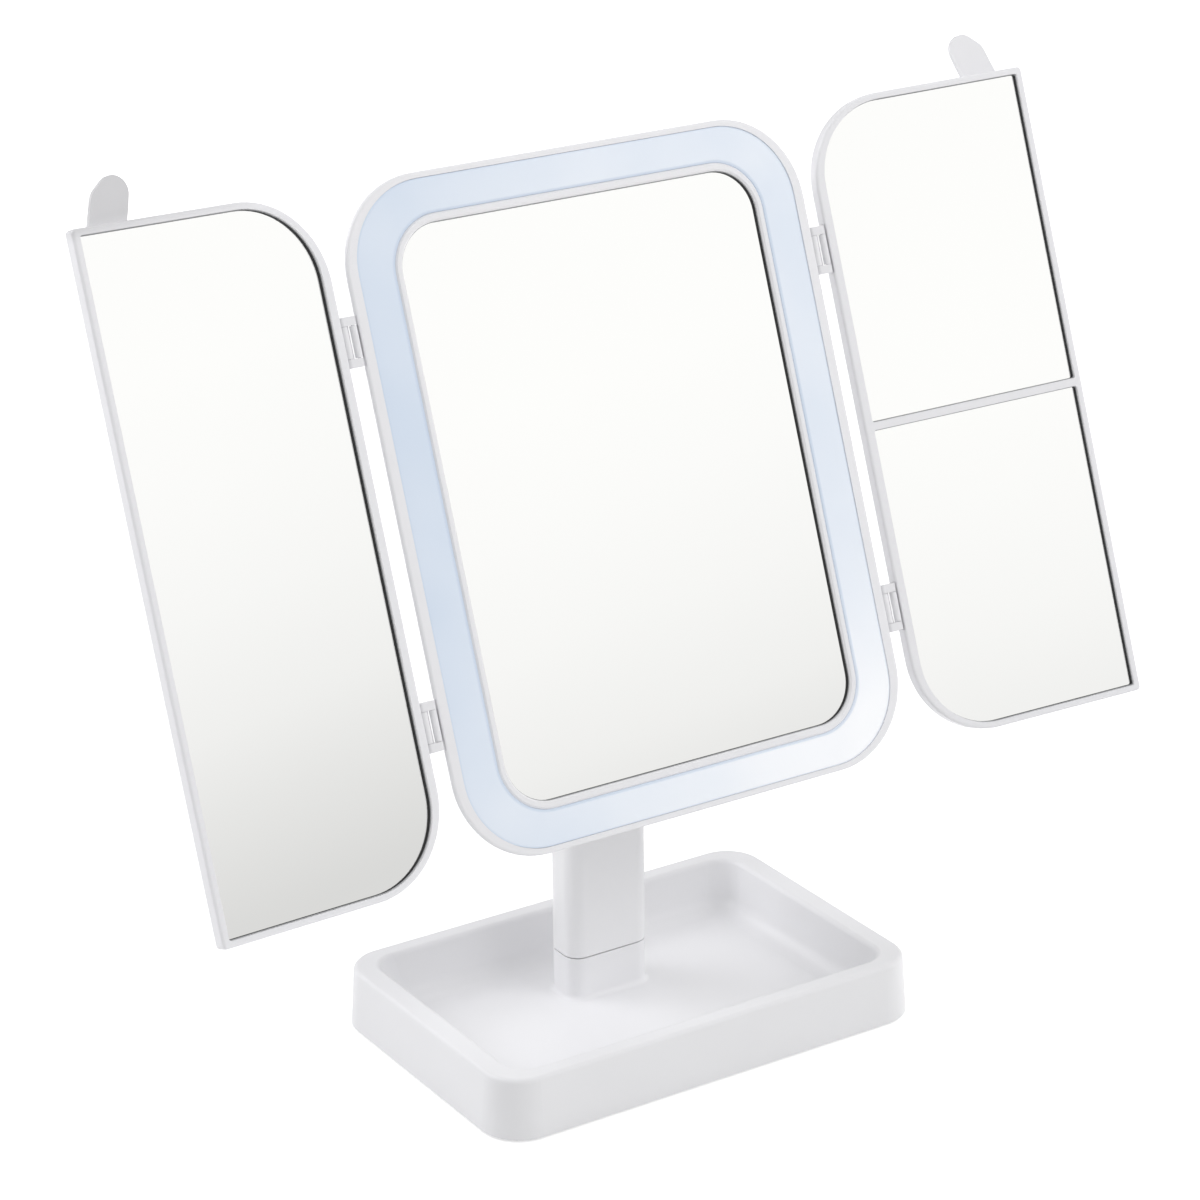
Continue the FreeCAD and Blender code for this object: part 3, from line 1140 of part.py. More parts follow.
def wing(side, name, split):
    """A side panel: its tray with knuckles and finger tab, its glass and its foam tape.

    Depth counts from the panel's front face, x from the hinge axis outward.
    """
    frame = wing_place(side)
    middle = side * (LINK_EDGE + WING_WIDTH / 2)
    free_edge = LINK_EDGE + WING_WIDTH
    top = D.WingHeight / 2

    def corner_radii(hinge_low, hinge_high, free):
        """Radii from the lower left corner round, the hinge at the left or at the right."""
        if side > 0:
            return (hinge_low, free, free, hinge_high)
        return (free, hinge_low, hinge_high, free)

    def sketch_at(body, depth):
        """A sketch parallel to the panel, at a depth behind its front face."""
        return at_depth(body, depth, D.LinkAxisDepth)

    tray = new_body(name + "_wing_tray", frame)
    whole = sketch_at(tray, 0)
    outline(whole, WING_WIDTH, D.WingHeight, None, middle, 0,
            corner_radii(D.WingCorner, D.WingCorner, D.WingOuterCorner))
    pad_back(tray, whole, WING_DEPTH)
    round_edges(tray, lambda e: in_plane(e, "y", WING_DEPTH - D.LinkAxisDepth), D.WingBackRound)
    round_edges(tray, lambda e: in_plane(e, "y", -D.LinkAxisDepth), D.WingRound)

    glass_x0, glass_x1 = LINK_EDGE + D.WingHingeRim, free_edge - D.WingFreeRim
    glass_z = top - D.WingEndRim
    big, small = D.WingCorner - D.WingHingeRim, D.WingOuterCorner / 2
    panes = [(-glass_z, glass_z, big, big, "")]
    if split:
        panes = [(D.BarLift + D.BarWidth / 2, glass_z, small, big, "_upper"),
                 (-glass_z, D.BarLift - D.BarWidth / 2, big, small, "_lower")]

    def pane_outline(pane):
        """Draws a pane's opening, or what fits in it with a gap all round."""
        low, high, low_radius, high_radius, which = pane

        def draw(sketch, gap):
            radii = [big - gap if r is big else small for r in (low_radius, high_radius)]
            outline(sketch, glass_x1 - glass_x0 - 2 * gap, high - low - 2 * gap, None,
                    side * (glass_x0 + glass_x1) / 2, (low + high) / 2,
                    corner_radii(radii[0], radii[1], small))
        return draw

    for pane in panes:
        recess = sketch_at(tray, 0)
        pane_outline(pane)(recess, 0)
        pocket(tray, recess, WING_DEPTH - D.WingFloor)
    knuckles(tray, side, 0, 0)

    tab_x, top_x = side * (free_edge - D.TabSide), side * (free_edge - D.TabTopSide)
    egg = sketch_at(tray, WING_DEPTH - D.TabThick)
    stadium(egg, tab_x, top + D.TabRise, top_x, top + D.TabTopRise, D.TabRadius, D.TabTopRadius)
    pad_back(tray, egg, D.TabThick)
    foot = sketch_at(tray, WING_DEPTH - D.TabThick)
    lean = D.TabLean * (D.TabRise + D.TabDrop) / D.TabRise
    stadium(foot, tab_x + side * lean, top - D.TabDrop, tab_x, top + D.TabRise, D.TabRadius)
    pad_back(tray, foot, D.TabThick)

    for pane in panes:
        which = pane[-1]
        mirror_in("%s_wing_mirror%s" % (name, which), "%s_wing_tape%s" % (name, which), frame,
                  sketch_at, pane_outline(pane), D.WingGlassSink)


# ---------------------------------------------------------------------------------------------
# The whole mirror
# ---------------------------------------------------------------------------------------------

base_tray()
base_underside()
post()
head_front()
head_rear()
electronics()
power_button()
case_screws()
tilt_joint()
for side_sign, side_name, two_panes in ((-1, "left", False), (1, "right", True)):
    links(side_sign, side_name)
    wing(side_sign, side_name, two_panes)
DOC.recompute()

for obj in DOC.Objects:
    if "Invalid" in obj.State or "Error" in obj.State:
        raise RuntimeError("failed object: %s (%s) %s" % (obj.Name, obj.Label, obj.State))
for obj in NODES:
    if obj.Shape.isNull() or not obj.Shape.isValid():
        raise RuntimeError("bad shape: " + obj.Label)

os.makedirs("parts", exist_ok=True)
for obj in NODES:
    obj.Shape.exportStep(os.path.join("parts", obj.Label + ".step"))
    box = obj.Shape.BoundBox
    print("%-26s solids %2d  volume %10.1f  box %7.1f %7.1f %7.1f" % (
        obj.Label, len(obj.Shape.Solids), obj.Shape.Volume, box.XLength, box.YLength, box.ZLength))
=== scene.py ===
import logging
import math
from dataclasses import dataclass
from enum import Enum
from typing import Any, Callable, Optional, Sequence, Union

import bmesh
import bpy
from mathutils import Matrix, Vector


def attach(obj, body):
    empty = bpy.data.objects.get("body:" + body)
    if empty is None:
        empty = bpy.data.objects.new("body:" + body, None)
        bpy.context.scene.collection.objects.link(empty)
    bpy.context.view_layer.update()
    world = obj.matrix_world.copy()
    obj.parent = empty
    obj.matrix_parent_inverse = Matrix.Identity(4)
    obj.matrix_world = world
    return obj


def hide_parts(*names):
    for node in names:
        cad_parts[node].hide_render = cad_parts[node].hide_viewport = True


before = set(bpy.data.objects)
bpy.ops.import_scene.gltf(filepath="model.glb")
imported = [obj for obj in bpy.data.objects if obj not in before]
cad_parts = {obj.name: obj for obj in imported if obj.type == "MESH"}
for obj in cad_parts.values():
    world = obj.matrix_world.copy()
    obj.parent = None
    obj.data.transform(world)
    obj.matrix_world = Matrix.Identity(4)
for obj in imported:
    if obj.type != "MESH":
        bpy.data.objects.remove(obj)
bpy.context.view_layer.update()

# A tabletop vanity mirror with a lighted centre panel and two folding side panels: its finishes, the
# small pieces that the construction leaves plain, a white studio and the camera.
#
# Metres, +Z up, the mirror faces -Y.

log = logging.getLogger("vanity_mirror")

Colour = tuple[float, float, float]
Point = tuple[float, float, float]
MM = 0.001
WHITE: Colour = (1.0, 1.0, 1.0)


# ---------------------------------------------------------------------------------------------
# Node graphs written as expressions
# ---------------------------------------------------------------------------------------------

class Wire:
    """One output socket, used in Python expressions as if it were its value."""

    def __init__(self, graph: "Graph", socket: bpy.types.NodeSocket) -> None:
        """Keeps the graph that new Math nodes go into and the socket itself."""
        self.graph = graph
        self.socket = socket

    def _math(self, operation: str, *operands: "Operand") -> "Wire":
        """A Math node over the operands."""
        return self.graph.math(operation, *operands)

    def __add__(self, other: "Operand") -> "Wire":
        """self + other"""
        return self._math("ADD", self, other)

    def __radd__(self, other: "Operand") -> "Wire":
        """other + self"""
        return self._math("ADD", other, self)

    def __sub__(self, other: "Operand") -> "Wire":
        """self - other"""
        return self._math("SUBTRACT", self, other)

    def __rsub__(self, other: "Operand") -> "Wire":
        """other - self"""
        return self._math("SUBTRACT", other, self)

    def __mul__(self, other: "Operand") -> "Wire":
        """self * other"""
        return self._math("MULTIPLY", self, other)

    def __rmul__(self, other: "Operand") -> "Wire":
        """other * self"""
        return self._math("MULTIPLY", other, self)

    def __truediv__(self, other: "Operand") -> "Wire":
        """self / other"""
        return self._math("DIVIDE", self, other)

    def __rtruediv__(self, other: "Operand") -> "Wire":
        """other / self"""
        return self._math("DIVIDE", other, self)

    def __pow__(self, other: "Operand") -> "Wire":
        """self ** other"""
        return self._math("POWER", self, other)

    def __mod__(self, other: "Operand") -> "Wire":
        """self % other, never negative"""
        return self._math("FLOORED_MODULO", self, other)

    def __gt__(self, other: "Operand") -> "Wire":
        """1 where self is the greater, else 0"""
        return self._math("GREATER_THAN", self, other)

    def __abs__(self) -> "Wire":
        """The value without its sign."""
        return self._math("ABSOLUTE", self)

    def clamp(self) -> "Wire":
        """The value held between 0 and 1."""
        made = self._math("ADD", self, 0.0)
        made.socket.node.use_clamp = True
        return made

    def step(self, low: float, high: float) -> "Wire":
        """A smooth rise from 0 at low to 1 at high (or a fall, where low is the greater)."""
        return self.graph.add("ShaderNodeMapRange", {"interpolation_type": "SMOOTHSTEP"},
                              {"Value": self, "From Min": low, "From Max": high})["Result"]


Operand = Union[Wire, float]


class Made:
    """A node that was added, whose outputs are read by name."""

    def __init__(self, graph: "Graph", node: bpy.types.Node) -> None:
        """Keeps the node and its graph."""
        self.graph = graph
        self.node = node

    def __getitem__(self, name: Union[str, int]) -> Wire:
        """The enabled output of that name, or of that place in the list."""
        outputs = self.node.outputs
        if isinstance(name, int):
            return Wire(self.graph, outputs[name])
        found = [s for s in outputs if s.name == name and s.enabled]
        return Wire(self.graph, found[0] if found else outputs[name])


class Graph:
    """A node tree that nodes are added to, for materials, the world and geometry alike."""

    def __init__(self, tree: bpy.types.NodeTree) -> None:
        """Starts with an empty tree."""
        self.tree = tree
        tree.nodes.clear()

    def add(self, kind: str, settings: Optional[dict[str, Any]] = None,
            inputs: Optional[dict[Union[str, int], Any]] = None) -> Made:
        """Adds one node.

        Args:
            kind: The node's type.
            settings: Its properties, set first; "stops" fills a colour ramp.
            inputs: Values or wires, by the socket's name or its place in the list.

        Returns:
            The node, whose outputs are read by name.
        """
        node = self.tree.nodes.new(kind)
        for name, value in (settings or {}).items():
            if name == "stops":
                self._fill_ramp(node.color_ramp, value)
            else:
                setattr(node, name, value)
        for name, value in (inputs or {}).items():
            self._feed(self._input(node, name), value)
        return Made(self, node)

    def math(self, operation: str, *operands: Operand) -> Wire:
        """A Math node.

        Args:
            operation: The node's operation.
            operands: Numbers or wires.

        Returns:
            Its value.
        """
        return self.add("ShaderNodeMath", {"operation": operation},
                        dict(enumerate(operands)))["Value"]

    def vector(self, operation: str, *operands: Union[Wire, Sequence[float]]) -> Made:
        """A Vector Math node over vectors, with its outputs Vector and Value."""
        return self.add("ShaderNodeVectorMath", {"operation": operation},
                        dict(enumerate(operands)))

    def mix(self, factor: Operand, low: Union[Wire, Colour], high: Union[Wire, Colour]) -> Wire:
        """A colour between two others.

        Args:
            factor: 0 gives low and 1 gives high.
            low: A colour or a wire.
            high: A colour or a wire.

        Returns:
            The mixed colour.
        """
        return self.add("ShaderNodeMix", {"data_type": "RGBA"},
                        {0: factor, 6: _rgba(low), 7: _rgba(high)})[2]

    def noise(self, where: Wire, scale: float, detail: float = 2.0,
              roughness: float = 0.5) -> Wire:
        """Smooth noise between 0 and 1.

        Args:
            where: The coordinates.
            scale: Lumps in a metre.
            detail: Octaves.
            roughness: How strong the finer octaves are.

        Returns:
            The noise value.
        """
        return self.add("ShaderNodeTexNoise", None,
                        {"Vector": where, "Scale": scale, "Detail": detail,
                         "Roughness": roughness})["Fac"]

    @staticmethod
    def _input(node: bpy.types.Node, name: Union[str, int]) -> bpy.types.NodeSocket:
        """The enabled input of that name, or of that place in the list."""
        if isinstance(name, int):
            return node.inputs[name]
        found = [s for s in node.inputs if s.name == name and s.enabled]
        return found[0] if found else node.inputs[name]

    def _feed(self, socket: bpy.types.NodeSocket, value: Any) -> None:
        """Links a wire to the socket, or sets its value."""
        if isinstance(value, Wire):
            self.tree.links.new(value.socket, socket)
        else:
            socket.default_value = value

    @staticmethod
    def _fill_ramp(ramp: bpy.types.ColorRamp, stops: Sequence[tuple[float, Colour]]) -> None:
        """Gives a ramp its stops."""
        while len(ramp.elements) > 1:
            ramp.elements.remove(ramp.elements[-1])
        for index, (place, colour) in enumerate(stops):
            element = ramp.elements[0] if index == 0 else ramp.elements.new(place)
            element.position = place
            element.color = (*colour, 1.0)


def _rgba(colour: Union[Wire, Sequence[float]]) -> Any:
    """A colour with its alpha; a wire as it is."""
    return colour if isinstance(colour, Wire) else (*colour[:3], 1.0)


# ---------------------------------------------------------------------------------------------
# Finishes
# ---------------------------------------------------------------------------------------------

LOOKS_THAT_WAY = 0.9    # cosine of the widest angle at which a face still counts as looking a way


class Surface(Graph):
    """The graph of one material, with its shader ready to be fed."""

    def __init__(self, name: str, constants: dict[str, Any]) -> None:
        """Makes the material.

        Args:
            name: The material's name.
            constants: What is the same all over the surface, by the shader's socket names.
        """
        self.material = bpy.data.materials.new(name)
        self.material.use_nodes = True
        super().__init__(self.material.node_tree)
        self.shader = self.add("ShaderNodeBsdfPrincipled", None, constants)
        self.add("ShaderNodeOutputMaterial", None, {"Surface": self.shader["BSDF"]})
        coordinates = self.add("ShaderNodeTexCoord")
        self.place = coordinates["Object"]
        self.facing = coordinates["Normal"]

    def axes(self) -> Made:
        """The object coordinates one by one: X, Y and Z."""
        return self.add("ShaderNodeSeparateXYZ", None, {"Vector": self.place})

    def looks(self, way: Point) -> Wire:
        """1 where the surface looks that way, else 0."""
        return self.vector("DOT_PRODUCT", self.facing, way)["Value"] > LOOKS_THAT_WAY

    def paint(self, **channels: Operand) -> None:
        """Feeds the shader: base, rough, metal, coat, glow."""
        sockets = {"base": "Base Color", "rough": "Roughness", "metal": "Metallic",
                   "coat": "Coat Weight", "glow": "Emission Color"}
        for name, value in channels.items():
            self._feed(self.shader.node.inputs[sockets[name]], value)

    def relief(self, height: Wire, depth: float, strength: float) -> None:
        """Bumps the surface.

        Args:
            height: The pattern, from 0 to 1.
            depth: How far 1 stands above 0, in metres.
            strength: How much of the bump is kept.
        """
        bump = self.add("ShaderNodeBump", None,
                        {"Height": height, "Distance": depth, "Strength": strength})
        self._feed(self.shader.node.inputs["Normal"], bump["Normal"])


@dataclass(frozen=True)
class MouldedPlastic:
    """Injection-moulded plastic: faint mottling, orange peel, a fine spark texture and a painted
    shade.

    The painted shade darkens the top of a piece as if it lay in shade: it sets in between the heights
    shade_from and shade_to.
    """

    name: str
    colour: Colour
    shade: Colour
    roughness: float = 0.32
    gloss: float = 0.25
    grain: float = 0.00002
    grain_scale: float = 2600.0
    greying: float = 0.0
    shade_from: float = 323.0 * MM
    shade_to: float = 329.0 * MM

    def make(self) -> bpy.types.Material:
        """The material."""
        s = Surface(self.name, {"IOR": 1.5, "Coat Roughness": 0.12})
        flow = s.noise(s.place, 16.0, 3.0)
        peel = s.noise(s.place, 420.0, 2.0)
        spark = s.noise(s.place, self.grain_scale, 2.0, 0.6)
        base = s.mix((flow - 0.35) * 0.8, self.colour, self.shade)
        # Painted shade: the colour darkens towards the top, between shade_from and shade_to, as if
        # that part lay in shade.
        if self.greying:
            grey = tuple(c * (1 - self.greying) for c in self.shade)
            base = s.mix(s.axes()["Z"].step(self.shade_from, self.shade_to), base, grey)
        s.paint(base=base,
                rough=self.roughness + (spark - 0.5) * 0.12 + (flow - 0.5) * 0.06,
                coat=self.gloss + (flow - 0.5) * 0.1)
        s.relief(peel * 0.6 + spark * 0.4, self.grain, 0.5)
        return s.material


@dataclass(frozen=True)
class SilveredGlass:
    """A mirror: silver behind glass, with green ground edges and a painted back."""

    name: str
    normal: Point
    tint: Colour = (0.985, 0.985, 0.968)
    haze: Colour = (0.972, 0.973, 0.955)

    def make(self) -> bpy.types.Material:
        """The material."""
        s = Surface(self.name, {"IOR": 1.52})
        front = s.looks(self.normal)
        back = s.looks(tuple(-c for c in self.normal))
        face_tone = s.noise(s.place, 7.0, 3.0)
        smear = s.noise(s.place, 60.0, 4.0, 0.6)
        edge = s.mix(s.noise(s.place, 900.0), (0.13, 0.2, 0.165), (0.22, 0.3, 0.26))
        paint = s.mix(s.noise(s.place, 120.0, 4.0), (0.24, 0.25, 0.26), (0.32, 0.33, 0.34))
        silver = s.mix((face_tone - 0.4) * 1.5, self.tint, self.haze)
        s.paint(base=s.mix(front, s.mix(back, edge, paint), silver),
                metal=front,
                rough=front * (0.004 + smear * 0.01) + (1 - front) * 0.38)
        return s.material


@dataclass(frozen=True)
class LitDiffuser:
    """Frosted acrylic lit from behind: soft patches, brighter at the crown and low on the right.

    The edges of the band are bluer. Places are heights and widths in the object's own frame.
    """

    name: str
    lamps: str
    across: str
    dim: Colour = (0.59, 0.665, 0.77)
    bright: Colour = (0.88, 0.89, 0.91)
    edge: Colour = (0.48, 0.56, 0.68)
    width: float = 180.0 * MM
    low_part: tuple[float, float] = (190.0 * MM, 100.0 * MM)
    crown_part: tuple[float, float] = (270.0 * MM, 310.0 * MM)
    crown_reach: float = 70.0 * MM
    patches_per_metre: float = 22.0

    def make(self) -> bpy.types.Material:
        """The material."""
        s = Surface(self.name, {"IOR": 1.49, "Emission Strength": 0.2, "Coat Weight": 0.1,
                                "Coat Roughness": 0.25})
        spots = s.add("ShaderNodeAttribute", {"attribute_name": self.lamps})["Fac"]
        across = s.add("ShaderNodeAttribute", {"attribute_name": self.across})["Fac"]
        place = s.axes()
        right = (place["X"] / self.width + 0.5).clamp()
        low = place["Z"].step(*self.low_part)
        near_middle = (1 - abs(place["X"]) / self.crown_reach).clamp()
        crown = place["Z"].step(*self.crown_part) * near_middle
        patches = s.noise(s.place, self.patches_per_metre, 1.5)
        lit = (0.04 + right * 0.36 + low * (0.14 + right * 0.62) + crown * 0.22 + spots * 0.08
               + (patches - 0.5) * 0.5).clamp()
        body = s.mix(lit, self.dim, self.bright)
        inner_edge, outer_edge = across.step(0.1, 0.03), across.step(0.93, 0.99)
        rim = inner_edge * 0.75 + outer_edge * 0.4
        frost = s.noise(s.place, 3800.0, 2.0)
        s.paint(base=s.mix(rim, body, self.edge), glow=body, rough=0.42 + (frost - 0.5) * 0.1)
        s.relief(frost, 0.00001, 0.4)
        return s.material


@dataclass(frozen=True)
class FoamTape:
    """Black closed-cell foam whose side that faces out is pale grey, a painted highlight that
    lightens the lines along the mirrors' edges.
    """

    name: str
    normal: Point
    colour: Colour = (0.012, 0.013, 0.014)
    face_tone: Colour = (0.45, 0.455, 0.465)

    def make(self) -> bpy.types.Material:
        """The material."""
        s = Surface(self.name, {"IOR": 1.45})
        front = s.looks(self.normal)
        cells = s.add("ShaderNodeTexVoronoi", None, {"Vector": s.place, "Scale": 2600.0})["Distance"]
        foam = s.mix(cells, self.colour, (0.035, 0.036, 0.038))
        # The pale out-facing side is a painted highlight along the mirrors' edges.
        s.paint(base=s.mix(front, foam, self.face_tone), rough=0.75 + cells * 0.2)
        s.relief(cells, 0.0001, 0.6)
        return s.material


@dataclass(frozen=True)
class Metal:
    """Plated or bare metal, brushed along one axis by a fine stretched noise."""

    name: str
    colour: Colour
    dark: Colour
    roughness: float = 0.3
    stretch: Point = (1.0, 1.0, 1.0)

    def make(self) -> bpy.types.Material:
        """The material."""
        s = Surface(self.name, {"IOR": 2.2})
        along = s.add("ShaderNodeMapping", None, {"Vector": s.place, "Scale": self.stretch})["Vector"]
        marks = s.noise(along, 1500.0, 4.0, 0.65)
        stain = s.noise(s.place, 90.0, 4.0)
        s.paint(base=s.mix((stain - 0.3) * 1.2, self.colour, self.dark), metal=1.0,
                rough=self.roughness + (marks - 0.5) * 0.25)
        s.relief(marks, 0.00001, 0.35)
        return s.material


@dataclass(frozen=True)
class Rubber:
    """Soft pale rubber with a fine stipple."""

    name: str
    colour: Colour = (0.55, 0.56, 0.565)

    def make(self) -> bpy.types.Material:
        """The material."""
        s = Surface(self.name, {"IOR": 1.5, "Sheen Weight": 0.1})
        stipple = s.noise(s.place, 3000.0, 3.0, 0.7)
        dust = s.noise(s.place, 200.0, 4.0)
        s.paint(base=s.mix((dust - 0.35) * 1.2, self.colour, (0.43, 0.44, 0.445)),
                rough=0.72 + (stipple - 0.5) * 0.2)
        s.relief(stipple, 0.00008, 0.6)
        return s.material


@dataclass(frozen=True)
class CircuitBoard:
    """Solder-masked board with copper runs showing through."""

    name: str
    mask: Colour
    copper: Colour
    pitch: float = 0.0022

    def make(self) -> bpy.types.Material:
        """The material."""
        s = Surface(self.name, {"IOR": 1.5, "Coat Roughness": 0.1})
        cells = s.add("ShaderNodeTexBrick", {"offset": 0.35},
                      {"Vector": s.place, "Scale": 1.0, "Mortar Size": self.pitch * 0.12,
                       "Brick Width": self.pitch * 3, "Row Height": self.pitch,
                       "Mortar Smooth": 0.1})["Fac"]
        wash = s.noise(s.place, 300.0, 3.0)
        s.paint(base=s.mix(cells * 0.5 + wash * 0.2, self.mask, self.copper),
                rough=0.3 + wash * 0.15, coat=0.6 - cells * 0.2)
        s.relief(cells, 0.00003, 0.5)
        return s.material


@dataclass(frozen=True)
class ShrinkWrap:
    """Thin blue film shrunk round the cells, with creases."""

    name: str
    colour: Colour = (0.05, 0.16, 0.42)

    def make(self) -> bpy.types.Material:
        """The material."""
        s = Surface(self.name, {"IOR": 1.5, "Coat Roughness": 0.15})
        creases = s.add("ShaderNodeTexWave", {"wave_type": "BANDS"},
                        {"Vector": s.place, "Scale": 60.0, "Distortion": 6.0,
                         "Detail": 3.0})["Fac"]
        s.paint(base=s.mix(creases * 0.5, self.colour, (0.09, 0.24, 0.55)),
                rough=0.24 + creases * 0.14, coat=0.5)
        s.relief(creases, 0.0001, 0.4)
        return s.material


class FinishName(Enum):
    """The finishes, by the place that they go to."""

    FRAME = "white_frame_plastic"
    WING = "white_side_panel_plastic"
    # The left side panel's finish: its top, round the thumb tab, has a painted shade.
    TOP_SHADED_WING = "top_shaded_side_panel_plastic"
    BASE = "white_base_plastic"
    POST = "white_post_plastic"
    LINK = "white_link_plastic"
    DARK = "black_abs"
    LIT = "lit_acrylic"
    PHOSPHOR = "lamp_phosphor"
    STEEL = "zinc_plated_steel"
    BALLAST = "rolled_steel_plate"
    WASHER = "acetal_washer"
    RUBBER = "grey_rubber"
    BOARD = "green_circuit_board"
    STRIP = "white_circuit_board"
    WRAP = "battery_wrap"


MOTTLE_TINT: Colour = (0.975, 0.972, 0.968)


def white(name: FinishName, colour: Colour, **changes: float) -> MouldedPlastic:
    """A white plastic whose mottling is a little darker and warmer than its colour."""
    shade = tuple(c * k for c, k in zip(colour, MOTTLE_TINT))
    return MouldedPlastic(name.value, colour, shade, **changes)


LAMP_SPOTS = "lamp_spots"
BAND_ACROSS = "band_across"
FINISHES = (
    white(FinishName.FRAME, (0.9, 0.898, 0.92), roughness=0.3, gloss=0.35),
    white(FinishName.WING, (0.88, 0.878, 0.9), roughness=0.32, gloss=0.3),
    # Painted shade on the left panel's top, round its tab.
    white(FinishName.TOP_SHADED_WING, (0.88, 0.878, 0.9), roughness=0.32, gloss=0.3, greying=0.2),
    white(FinishName.BASE, (0.87, 0.87, 0.885), roughness=0.4, gloss=0.15, grain=0.00003),
    white(FinishName.POST, (0.89, 0.89, 0.9), roughness=0.36, gloss=0.2),
    white(FinishName.LINK, (0.86, 0.858, 0.88), roughness=0.34, gloss=0.3),
    MouldedPlastic(FinishName.DARK.value, (0.03, 0.03, 0.032), (0.02, 0.02, 0.021), 0.45, 0.1),
    MouldedPlastic(FinishName.WASHER.value, (0.7, 0.7, 0.66), (0.62, 0.62, 0.58), 0.35, 0.1),
    MouldedPlastic(FinishName.PHOSPHOR.value, (0.82, 0.7, 0.2), (0.78, 0.62, 0.14), 0.3, 0.3),
    LitDiffuser(FinishName.LIT.value, LAMP_SPOTS, BAND_ACROSS),
    Metal(FinishName.STEEL.value, (0.62, 0.63, 0.66), (0.5, 0.51, 0.53), 0.28),
    Metal(FinishName.BALLAST.value, (0.42, 0.42, 0.43), (0.3, 0.29, 0.28), 0.45, (0.08, 1.0, 1.0)),
    Rubber(FinishName.RUBBER.value),
    CircuitBoard(FinishName.BOARD.value, (0.01, 0.12, 0.045), (0.09, 0.3, 0.11)),
    CircuitBoard(FinishName.STRIP.value, (0.75, 0.76, 0.76), (0.6, 0.55, 0.42)),
    ShrinkWrap(FinishName.WRAP.value),
)


class Workshop:
    """Holds the finished materials and puts them on pieces."""

    def __init__(self) -> None:
        """Makes every finish once."""
        self.materials = {finish.name: finish.make() for finish in FINISHES}

    def material(self, name: FinishName) -> bpy.types.Material:
        """The material of that name."""
        return self.materials[name.value]

    def dress(self, node: str, material: Union[FinishName, bpy.types.Material]) -> None:
        """Puts a finish on a construction node.

        Args:
            node: The node's name.
            material: A finish by name, or a material of its own.
        """
        if isinstance(material, FinishName):
            material = self.material(material)
        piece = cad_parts[node]
        for slot in piece.material_slots:
            slot.link = "OBJECT"
            slot.material = material
        if not piece.material_slots:
            piece.data.materials.append(material)
        log.info("%-26s %s", node, material.name)


# ---------------------------------------------------------------------------------------------
# Geometry trees
# ---------------------------------------------------------------------------------------------

class GeometryTree(Graph):
    """A Geometry Nodes tree with named inputs, run once and kept as a plain mesh."""

    def __init__(self, name: str) -> None:
        """Makes the tree with its geometry output."""
        super().__init__(bpy.data.node_groups.new(name, "GeometryNodeTree"))
        self.tree.interface.new_socket("Geometry", in_out="OUTPUT",
                                       socket_type="NodeSocketGeometry")
        self.sizes = self.add("NodeGroupInput")
        self.keys: dict[str, str] = {}

    def size(self, name: str, kind: str = "NodeSocketFloat") -> Wire:
        """Adds a named input.

        Args:
            name: What the input is called.
            kind: The socket type.

        Returns:
            The input's value inside the tree.
        """
        made = self.tree.interface.new_socket(name, in_out="INPUT", socket_type=kind)
        self.keys[name] = made.identifier
        return self.sizes[name]

    def close(self, geometry: Wire, material: Wire) -> None:
        """Ends the tree: instances become real, and the material goes on."""
        real = self.add("GeometryNodeRealizeInstances", None, {"Geometry": geometry})["Geometry"]
        dressed = self.add("GeometryNodeSetMaterial", None,
                           {"Geometry": real, "Material": material})["Geometry"]
        self.add("NodeGroupOutput", None, {"Geometry": dressed})

    def run(self, name: str, values: dict[str, Any]) -> bpy.types.Object:
        """Runs the tree.

        Args:
            name: The new piece's name.
            values: The inputs by name.

        Returns:
            A plain mesh object at the origin.
        """
        carrier = bpy.data.objects.new(name, bpy.data.meshes.new(name))
        bpy.context.scene.collection.objects.link(carrier)
        modifier = carrier.modifiers.new("Tree", "NODES")
        modifier.node_group = self.tree
        for key, value in values.items():
            modifier[self.keys[key]] = value
        bpy.context.view_layer.update()
        graph = bpy.context.evaluated_depsgraph_get()
        mesh = bpy.data.meshes.new_from_object(carrier.evaluated_get(graph))
        carrier.modifiers.remove(modifier)
        carrier.data = mesh
        mesh.name = name
        return carrier


